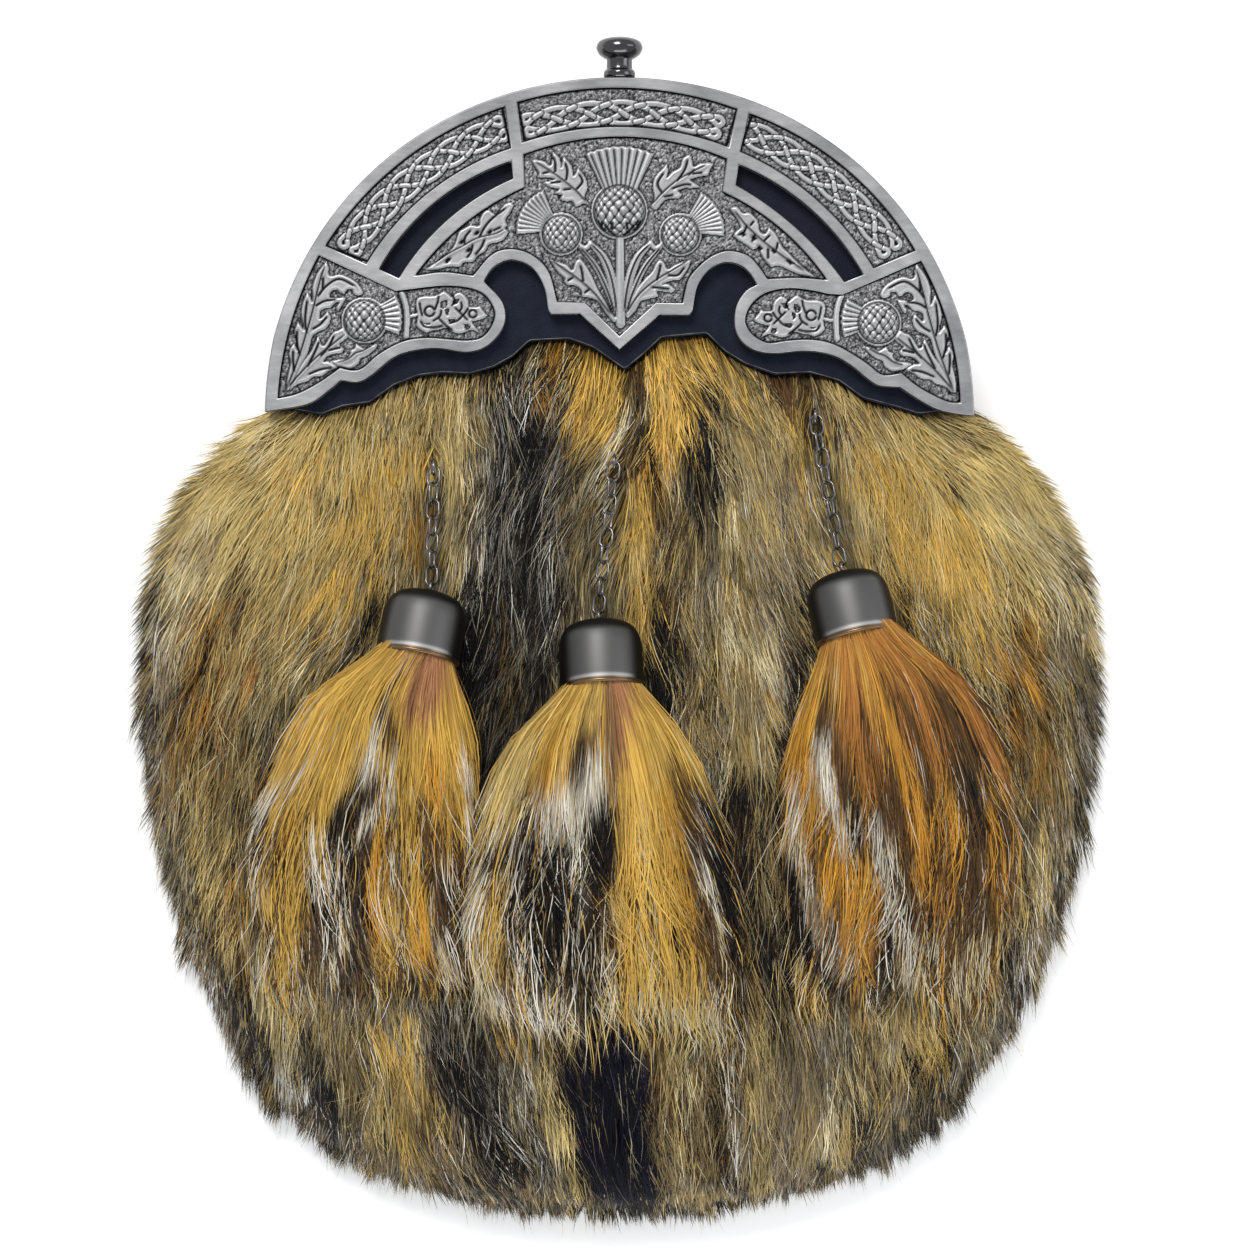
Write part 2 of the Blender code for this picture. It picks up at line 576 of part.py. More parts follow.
def oval(length, width, turn, centre, along):
    """Wire centre line of a link about centre, its length along the chain."""
    along = along.normalized()
    side = along.cross(Vector((0, 0, 1))).normalized()
    up = side.cross(along)
    t = math.radians(turn)
    side = side * math.cos(t) + up * math.sin(t)
    r = width / 2
    straight = length / 2 - r
    out = []
    for k in range(8):
        a = math.radians(45 * k + 22.5)
        c, s = math.cos(a), math.sin(a)
        out.append(centre + side * (c * r) + along * (s * r + (straight if s > 0 else -straight)))
    return out


wells = []
for name, x, y, lean, links, staple_x in TASSELS:
    m = cup_matrix(x, y, lean)
    turn = Matrix(m)
    turn.translation = m.translation * MM

    # cup: outer wall down to the lip, inner wall back up
    inside = [(max(r - CUP_WALL, 0), h - (CUP_WALL if h > 12 else 0)) for r, h in CUP_PROFILE]
    inside[0] = (CUP_PROFILE[0][0] - CUP_WALL, 0.0)
    cup = turned("cup_" + name, inside[::-1] + list(CUP_PROFILE), GUNMETAL, 14)
    cup.matrix_world = turn
    eye = [m @ Vector((0, EYE_RADIUS * math.cos(k * math.pi / 4), EYE_HEIGHT + EYE_RADIUS * math.sin(k * math.pi / 4)))
           for k in range(8)]
    boolean(cup, wire_mesh("eye", eye, EYE_WIRE), "UNION")

    # chain: straight from the eye's far wire to the staple hidden in the fur
    top = m @ Vector((0, 0, EYE_HEIGHT + EYE_RADIUS))
    half = LINK_LENGTH / 2 - LINK_WIRE
    first = half - EYE_WIRE - LINK_WIRE - 0.15
    length = first + PITCH * (links - 1) + half
    rise = STAPLE_Z - top.z
    dx = staple_x - top.x
    last = Vector((staple_x, top.y + math.sqrt(length ** 2 - dx ** 2 - rise ** 2), STAPLE_Z))
    anchor = last - Vector((0, 0.2, 0))
    along = (last - top).normalized()
    for k in range(links):
        middle = top + along * (first + PITCH * k)
        pts = oval(LINK_LENGTH - 2 * LINK_WIRE, LINK_WIDTH - 2 * LINK_WIRE, LINK_TURN[k % 2], middle, along)
        add("link_%s_%02d" % (name, k + 1), wire_mesh("link", pts, LINK_WIRE), GUNMETAL, smooth=60)

    # staple: two legs through the pelt, its arch runs along the chain through the last link
    pitch = 1.7
    arch = [(anchor.x, anchor.y + pitch * math.cos(a), anchor.z - 0.9 + pitch * math.sin(a))
            for a in (0.0, 0.63, 1.26, 1.88, 2.51, math.pi)]
    legs = [(anchor.x, anchor.y + pitch, FRONT_Z[1] + 0.3)] + arch + [(anchor.x, anchor.y - pitch, FRONT_Z[1] + 0.3)]
    add("staple_" + name, wire_mesh("staple", legs, 0.4, cyclic=False), GUNMETAL, smooth=60)
    well = bmesh.new()
    bmesh.ops.create_cone(well, cap_ends=True, segments=10, radius1=3.4 * MM, radius2=3.4 * MM, depth=0.03,
                          matrix=Matrix.Translation(Vector((anchor.x, anchor.y, 28)) * MM))
    well_mesh = bpy.data.meshes.new("well")
    well.to_mesh(well_mesh)
    well.free()
    wells.append(well_mesh)

    # brush: its neck fills the cup, then flat-bottomed sections lie on the fur
    rings = []
    for h, r in ((14.0, 4.6), (11.0, 7.3), (4.0, 8.2), (-1.2, 8.5)):
        rings.append([m @ Vector((r * math.cos(math.pi * k / 6), r * math.sin(math.pi * k / 6), h)) for k in range(12)])
    for row_y, x0, x1, z1 in BRUSH[name]:
        mid, half = (x0 + x1) / 2, (x1 - x0) / 2
        zc = BRUSH_LOW + (z1 - BRUSH_LOW) * 0.42
        ring = []
        for k in range(12):
            a = math.pi * k / 6
            c, s = math.cos(a), math.sin(a)
            c = math.copysign(abs(c) ** 0.8, c)
            h = (z1 - zc) if s > 0 else (zc - BRUSH_LOW)
            ring.append((mid + half * c, row_y, zc + h * math.copysign(abs(s) ** 0.75, s)))
        rings.append(ring)
    add("brush_" + name, loft("brush", rings), TASSEL_FUR, smooth=60)

boolean(fur_front, joined("wells", wells), "DIFFERENCE")
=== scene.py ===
"""Looks of the full-dress sporran: antique pewter cantle, satin leather board, long fox-like
fur, three fur tassels in gunmetal cups on fine link chains. Tables are in millimetres, or in
"plan units" of 0.23404 mm where a name ends in _PLAN (x to the right, y down the front)."""

import math

import bmesh
import bpy
import numpy as np
from mathutils import Matrix, Vector, kdtree


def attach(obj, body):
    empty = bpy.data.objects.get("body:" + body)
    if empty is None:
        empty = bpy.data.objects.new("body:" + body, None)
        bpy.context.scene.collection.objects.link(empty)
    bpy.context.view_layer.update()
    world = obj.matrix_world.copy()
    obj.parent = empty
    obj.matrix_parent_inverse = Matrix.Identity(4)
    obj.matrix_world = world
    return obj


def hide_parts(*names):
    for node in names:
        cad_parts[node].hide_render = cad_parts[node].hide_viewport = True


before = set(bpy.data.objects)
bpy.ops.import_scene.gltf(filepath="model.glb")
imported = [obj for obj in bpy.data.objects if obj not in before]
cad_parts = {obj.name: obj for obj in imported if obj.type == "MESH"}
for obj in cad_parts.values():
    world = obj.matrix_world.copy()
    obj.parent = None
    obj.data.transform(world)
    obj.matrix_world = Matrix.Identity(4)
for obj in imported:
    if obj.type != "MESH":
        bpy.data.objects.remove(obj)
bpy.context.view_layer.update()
MM = 0.001
UNIT = 0.23404
rng = np.random.default_rng(20)
scene = bpy.context.scene


# ================================================================ camera, light, floor
def plan(px, py, z=29.0):
    """Plan units to millimetres at height z."""
    k = 1 - (z - 29.0) / 900.0
    return 1.64 + (px - 627.0) * UNIT * k, (627.0 - py) * UNIT * k - 0.12


camera = bpy.data.objects.new("camera", bpy.data.cameras.new("camera"))
scene.collection.objects.link(camera)
camera.location = (0.00176, -0.00018, 0.929)
camera.data.sensor_width = 36
camera.data.lens = 36 * 900 / 292.0
camera.data.clip_start, camera.data.clip_end = 0.05, 10
scene.camera = camera
scene.view_settings.view_transform = "Standard"

world = bpy.data.worlds.new("studio")
scene.world = world
world.use_nodes = True
world.node_tree.nodes["Background"].inputs["Color"].default_value = (0.97, 0.985, 1.0, 1)
world.node_tree.nodes["Background"].inputs["Strength"].default_value = 0.62


def area_light(name, place, target, size, power, colour=(1, 1, 1), size_y=None):
    data = bpy.data.lights.new(name, "AREA")
    data.energy, data.size, data.color = power, size, colour
    if size_y:
        data.shape, data.size_y = "RECTANGLE", size_y
    ob = bpy.data.objects.new(name, data)
    ob.location = place
    ob.rotation_euler = (Vector(target) - Vector(place)).to_track_quat("-Z", "Y").to_euler()
    scene.collection.objects.link(ob)
    return ob


area_light("key", (-0.25, 0.85, 1.15), (0, -0.02, 0), 0.55, 13.0, (1.0, 0.985, 0.96))
area_light("low_fill", (0.1, -1.25, 0.62), (0, 0, 0), 1.3, 7.0, (0.97, 0.985, 1.0), 0.5)
area_light("side_fill", (1.1, 0.2, 0.8), (0, 0, 0), 0.7, 3.5)


# ================================================================ materials
def principled(name, colour=(0.5, 0.5, 0.5), roughness=0.5, metallic=0.0, **sockets):
    mat = bpy.data.materials.new(name)
    mat.use_nodes = True
    shader = mat.node_tree.nodes["Principled BSDF"]
    shader.inputs["Base Color"].default_value = (*colour, 1.0)
    shader.inputs["Roughness"].default_value = roughness
    shader.inputs["Metallic"].default_value = metallic
    for key, value in sockets.items():
        shader.inputs[key.replace("_", " ")].default_value = value
    return mat, mat.node_tree, shader


def node(tree, kind, **values):
    n = tree.nodes.new(kind)
    for key, value in values.items():
        if key in n.inputs:
            n.inputs[key].default_value = value
        else:
            setattr(n, key, value)
    return n


def bumped(tree, shader, height, strength, distance):
    bump = node(tree, "ShaderNodeBump", Strength=strength, Distance=distance)
    tree.links.new(height, bump.inputs["Height"])
    tree.links.new(bump.outputs["Normal"], shader.inputs["Normal"])
    return bump


def ramp(tree, source, stops):
    r = node(tree, "ShaderNodeValToRGB")
    el = r.color_ramp.elements
    while len(el) < len(stops):
        el.new(0.5)
    for e, (place, colour) in zip(el, stops):
        e.position, e.color = place, (*colour, 1.0)
    tree.links.new(source, r.inputs["Fac"])
    return r.outputs["Color"]


def floor_material():
    mat, tree, shader = principled("floor_paper", (0.93, 0.93, 0.935), 0.95)
    shader.inputs["Specular IOR Level"].default_value = 0.0
    shader.inputs["Emission Color"].default_value = (1, 1, 1, 1)
    shader.inputs["Emission Strength"].default_value = 0.22
    return mat


bm = bmesh.new()
bmesh.ops.create_grid(bm, x_segments=1, y_segments=1, size=3.0)
floor_mesh = bpy.data.meshes.new("floor")
bm.to_mesh(floor_mesh)
bm.free()
floor = bpy.data.objects.new("floor", floor_mesh)
floor.location.z = -0.0003
floor_mesh.materials.append(floor_material())
scene.collection.objects.link(floor)


def piece(name, mesh, mat):
    ob = bpy.data.objects.new(name, mesh)
    scene.collection.objects.link(ob)
    mesh.materials.clear()
    mesh.materials.append(mat)
    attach(ob, "root")
    return ob


# ================================================================ fur
BOARD_EDGE = (
    (-80.6, 51.1), (-74.2, 50.2), (-69.7, 49.4), (-64.8, 51.3), (-58.5, 52.2), (-52.7, 56.3), (-47.0, 58.5),
    (-41.5, 59.2), (-35.0, 58.9), (-29.5, 60.5), (-25.0, 63.0), (-21.1, 66.6), (-11.7, 67.1), (-6.0, 65.0),
    (1.2, 59.9), (5.5, 63.4), (9.8, 67.4), (20.4, 68.4), (24.6, 64.2), (29.3, 61.3), (36.4, 58.8), (44.5, 59.2),
    (51.5, 57.2), (57.0, 53.2), (64.6, 51.2), (70.0, 49.5), (74.2, 50.0), (80.6, 51.1),
)
FUR_SIDE = (
    (82.4, 50.4), (94.0, 39.0), (103.5, 25.0), (109.6, 6.0), (111.0, -14.0), (109.4, -38.0),
    (104.4, -62.0), (95.6, -85.0), (82.0, -106.0), (62.0, -124.0), (34.0, -134.6), (0.0, -137.7),
)
HUB = np.array((0.0, -35.0))

_edge = np.array(FUR_SIDE + tuple((-x, y) for x, y in reversed(FUR_SIDE[:-1])))
_rel = _edge - HUB
_angle = np.unwrap(np.arctan2(_rel[:, 1], _rel[:, 0]))       # from the right shoulder, clockwise
_radius = np.hypot(_rel[:, 0], _rel[:, 1])
_order = np.argsort(_angle)
_angle, _radius = _angle[_order], _radius[_order]


def smooth_table(xs, ys, n=600):
    """A smooth curve through a table, as two arrays (Catmull-Rom in the parameter xs)."""
    grid = np.linspace(xs[0], xs[-1], n)
    slope = np.gradient(ys, xs)
    i = np.clip(np.searchsorted(xs, grid, side="right") - 1, 0, len(xs) - 2)
    h = xs[i + 1] - xs[i]
    t = (grid - xs[i]) / h
    a, b = ys[i], ys[i + 1]
    out = ((2 * t ** 3 - 3 * t ** 2 + 1) * a + (t ** 3 - 2 * t ** 2 + t) * h * slope[i]
           + (-2 * t ** 3 + 3 * t ** 2) * b + (t ** 3 - t ** 2) * h * slope[i + 1])
    return grid, out


RIM_ANGLE, RIM_RADIUS = smooth_table(_angle, _radius)
_board = np.array(BOARD_EDGE)


def outline_radius(angle):
    """Distance from the hub to the fur's edge; above the shoulders it closes behind the cantle."""
    a = (angle - RIM_ANGLE[0]) % (2 * math.pi) + RIM_ANGLE[0]
    shut = np.interp(a, [RIM_ANGLE[-1], RIM_ANGLE[0] + 2 * math.pi], [RIM_RADIUS[-1], RIM_RADIUS[0]])
    return np.where(a <= RIM_ANGLE[-1], np.interp(a, RIM_ANGLE, RIM_RADIUS), shut)


# Where the longest hairs end, seen from above.
TIPS_PLAN = (
    (268, 412), (234, 420), (200, 446), (165, 500), (150, 560), (140, 620), (137, 680), (140, 740), (150, 820), (165, 900),
    (190, 970), (215, 1030), (250, 1090), (300, 1140), (330, 1165), (400, 1185), (480, 1205), (560, 1215), (620, 1210),
    (700, 1205), (780, 1195), (850, 1180), (920, 1150), (960, 1110), (1010, 1040), (1050, 960), (1080, 880), (1095, 800),
    (1105, 700), (1100, 620), (1085, 540), (1060, 480), (1020, 430), (990, 417), (972, 415),
)
_tips = np.array(TIPS_PLAN, float)
_tip_x, _tip_y = plan(_tips[:, 0], _tips[:, 1], 8.0)
_tip_x, _tip_y = _tip_x - HUB[0], _tip_y - HUB[1]
_tip_angle = np.arctan2(_tip_y, _tip_x)
_tip_order = np.argsort(_tip_angle)
_tip_angle, _tip_radius = _tip_angle[_tip_order], np.hypot(_tip_x, _tip_y)[_tip_order]


def tip_radius(angle):
    return np.interp(angle, _tip_angle, _tip_radius, period=2 * math.pi)


def edge_depth(x, y):
    """How far inside the fur's outer edge a point is."""
    dx, dy = x - HUB[0], y - HUB[1]
    r = np.hypot(dx, dy)
    return outline_radius(np.arctan2(dy, dx)) - r


def below_board(x, y):
    """How far below the board's scalloped edge a point is."""
    edge = np.interp(x, _board[:, 0], _board[:, 1])
    gap = edge - y
    beyond = np.clip(np.abs(x) - 79.0, 0, None)
    return np.where(gap > 0, np.hypot(np.clip(gap, 0, None), beyond), np.where(beyond > 0, beyond, gap))


CHAINS_PLAN = (
    # hole x, y, cup end x, y
    (435, 470, 440, 592), (613, 487, 601, 615), (815, 418, 846, 578),
)


def chain_offset(x, y):
    """From the nearest chain's line to each point: distance, x and y parts."""
    best = np.full(np.shape(x), 99.0)
    ox, oy = np.zeros(np.shape(x)), np.zeros(np.shape(x))
    for x0, y0, x1, y1 in CHAINS_PLAN:
        a, b = np.array(plan(x0, y0)), np.array(plan(x1, y1))
        d = b - a
        t = np.clip(((x - a[0]) * d[0] + (y - a[1]) * d[1]) / (d @ d), 0, 1)
        gx, gy = x - a[0] - t * d[0], y - a[1] - t * d[1]
        far = np.hypot(gx, gy)
        near = far < best
        best, ox, oy = np.where(near, far, best), np.where(near, gx, ox), np.where(near, gy, oy)
    return best, ox, oy


def chain_distance(x, y):
    return chain_offset(x, y)[0]


def chain_gap(x, y):
    """Half width of the parting: wide at the hole, narrow at the cup."""
    best, gap = np.full(np.shape(x), 99.0), np.full(np.shape(x), 1.6)
    for x0, y0, x1, y1 in CHAINS_PLAN:
        a, b = np.array(plan(x0, y0)), np.array(plan(x1, y1))
        d = b - a
        t = np.clip(((x - a[0]) * d[0] + (y - a[1]) * d[1]) / (d @ d), 0, 1)
        far = np.hypot(x - a[0] - t * d[0], y - a[1] - t * d[1])
        gap = np.where(far < best, 2.4 - 1.3 * t, gap)
        best = np.minimum(best, far)
    return gap


def hole_distance(x, y):
    best = np.full(np.shape(x), 99.0)
    for x0, y0, _, _ in CHAINS_PLAN:
        a = plan(x0, y0)
        best = np.minimum(best, np.hypot(x - a[0], (y - a[1]) * 0.8))
    return best


def pelt_height(x, y):
    """Top of the undercoat."""
    e = edge_depth(x, y)
    inside = np.clip(e / 24.0, 0, 1)
    h = 8.0 + 20.6 * np.sqrt(1 - (1 - inside) ** 2)
    h = np.where(e < 0, np.maximum(8.0 + e * 0.42, 1.5), h)
    b = np.clip(below_board(x, y), 0, None)
    h = np.minimum(h, 23.6 + 5.0 * (b / 8.0) ** 0.7)
    corner = np.clip((np.abs(x) - 66) / 8, 0, 1) * np.clip((y - 36) / 6, 0, 1)
    h = np.maximum(h, (24.6 - 0.35 * b) * corner - 40 * (1 - corner) - 2.2 * np.clip(2.5 - e, 0, None))
    dip = np.exp(-(hole_distance(x, y) / 4.2) ** 2) * 3.2 + np.exp(-(chain_distance(x, y) / 3.2) ** 2) * 0.9
    return h - dip


# ---- which way the hair lies: plan x, plan y, right, up
FLOW_PLAN = (
    (262, 432, -.86, -.5), (255, 460, -.75, -.66), (235, 530, -.38, -.93), (185, 520, -.6, -.8), (165, 570, -.42, -.9),
    (148, 660, -.28, -.96), (150, 800, -.2, -.98), (190, 950, -.22, -.97), (235, 1050, -.2, -.98),
    (300, 480, -.3, -.95), (300, 600, -.32, -.95), (380, 560, -.2, -.98), (345, 640, -.5, -.86), (400, 425, .02, -1),
    (400, 500, -.05, -1), (500, 430, .1, -1), (530, 380, -.1, -1), (560, 470, -.45, -.88), (500, 600, -.08, -1),
    (500, 800, .06, -1), (490, 1000, .15, -.98), (600, 380, -.35, -.93), (618, 440, -.62, -.78), (590, 470, -.6, -.8),
    (650, 400, .12, -1), (700, 385, .45, -.9), (660, 480, .12, -1), (655, 600, .05, -1), (700, 600, .12, -.98),
    (760, 420, .3, -.95), (790, 480, .2, -.98), (810, 590, .5, -.85), (760, 700, .1, -1), (740, 900, .08, -1),
    (800, 385, .1, -1), (900, 430, .3, -.95), (950, 440, .72, -.68), (975, 425, .86, -.5), (1000, 520, .5, -.86),
    (1050, 560, .5, -.86), (1070, 640, .32, -.94), (1095, 720, .22, -.97), (950, 600, .25, -.97), (900, 520, .15, -.98),
    (1060, 850, .16, -.98), (1020, 960, .2, -.98), (1000, 1040, .24, -.97), (250, 1050, -.1, -1), (350, 1110, .02, -1),
    (440, 1080, .35, -.93), (520, 1140, .42, -.9), (600, 1120, .25, -.96), (700, 1120, .06, -1), (800, 1100, .02, -1),
    (900, 1080, .06, -1), (480, 1190, .36, -.93), (300, 850, -.1, -1), (300, 980, -.04, -1), (940, 1130, .2, -.98),
    (330, 1170, -.1, -1), (860, 1180, .08, -1), (620, 1210, .15, -1),
)
_flow = np.array(FLOW_PLAN, float)
_flow_at = np.stack(plan(_flow[:, 0], _flow[:, 1]), 1)
_flow_dir = _flow[:, 2:] / np.hypot(_flow[:, 2], _flow[:, 3])[:, None]


def flow(x, y):
    d2 = (x[:, None] - _flow_at[None, :, 0]) ** 2 + (y[:, None] - _flow_at[None, :, 1]) ** 2
    w = 1.0 / (d2 + 30.0) ** 1.6
    f = w @ _flow_dir
    return f / np.hypot(f[:, 0], f[:, 1])[:, None]


# ---- hair types: colours at root, lower third, upper third and tip (display values)
HAIR = {
    "sand": ((.42, .35, .21), (.67, .58, .37), (.70, .61, .39), (.78, .71, .50)),
    "tan": ((.58, .50, .31), (.76, .67, .43), (.79, .70, .45), (.82, .75, .53)),
    "gold": ((.46, .35, .14), (.76, .61, .29), (.80, .65, .31), (.78, .65, .36)),
    "orange": ((.40, .26, .07), (.74, .52, .17), (.78, .56, .20), (.70, .52, .25)),
    "amber": ((.34, .23, .07), (.64, .46, .16), (.67, .48, .17), (.58, .42, .20)),
    "rust": ((.28, .17, .06), (.57, .37, .14), (.62, .41, .16), (.46, .32, .17)),
    "brown": ((.14, .09, .05), (.34, .25, .15), (.32, .23, .14), (.20, .15, .10)),
    "black": ((.035, .03, .03), (.06, .055, .055), (.06, .055, .06), (.09, .085, .09)),
    "navy": ((.028, .03, .075), (.040, .043, .125), (.045, .05, .135), (.085, .09, .18)),
    "white": ((.44, .41, .35), (.78, .75, .69), (.88, .86, .81), (.95, .94, .91)),
    "cream": ((.56, .50, .36), (.78, .72, .56), (.82, .77, .61), (.90, .86, .74)),
    "grey": ((.20, .17, .14), (.47, .42, .35), (.43, .38, .32), (.74, .70, .63)),
    "ticked": ((.12, .10, .07), (.45, .39, .28), (.11, .10, .09), (.86, .82, .74)),
    "olive": ((.27, .22, .13), (.58, .50, .32), (.51, .44, .28), (.72, .65, .48)),
    "charcoal": ((.07, .06, .05), (.17, .15, .13), (.10, .09, .085), (.26, .24, .22)),
    "skin": ((.50, .34, .22), (.60, .42, .29), (.58, .40, .27), (.54, .38, .26)),
    "auburn": ((.42, .26, .11), (.65, .44, .22), (.61, .40, .20), (.47, .31, .16)),
    "tipped": ((.46, .38, .22), (.68, .59, .37), (.52, .44, .28), (.12, .10, .08)),
}
TYPES = list(HAIR)
# brightness steps of each hair type: besides random tone they carry the painted shade of the wool layer and of the
# chains' partings
SHADES = (0.62, 0.84, 1.02, 1.2)
COLUMNS = len(TYPES) * len(SHADES)


def linear(c):
    c = np.asarray(c, float)
    return np.where(c <= 0.04045, c / 12.92, ((c + 0.055) / 1.055) ** 2.4)


PALETTE = np.clip(np.array([[linear(np.array(c) * s) for c in HAIR[t]] for t in TYPES for s in SHADES]), 0, 0.96)


def capsule_weight(x, y, rows, z=29.0):
    """Weight of every hair type at each point, from streaks (x0, y0, x1, y1, half width, type, weight)."""
    out = np.zeros((len(x), len(TYPES)))
    for x0, y0, x1, y1, half, kind, weight in rows:
        a, b = np.array(plan(x0, y0, z)), np.array(plan(x1, y1, z))
        d = b - a
        t = np.clip(((x - a[0]) * d[0] + (y - a[1]) * d[1]) / max(d @ d, 1e-9), 0, 1)
        dist = np.hypot(x - a[0] - t * d[0], y - a[1] - t * d[1]) / (half * UNIT)
        out[:, TYPES.index(kind)] += weight * np.exp(-dist ** 2)
    return out


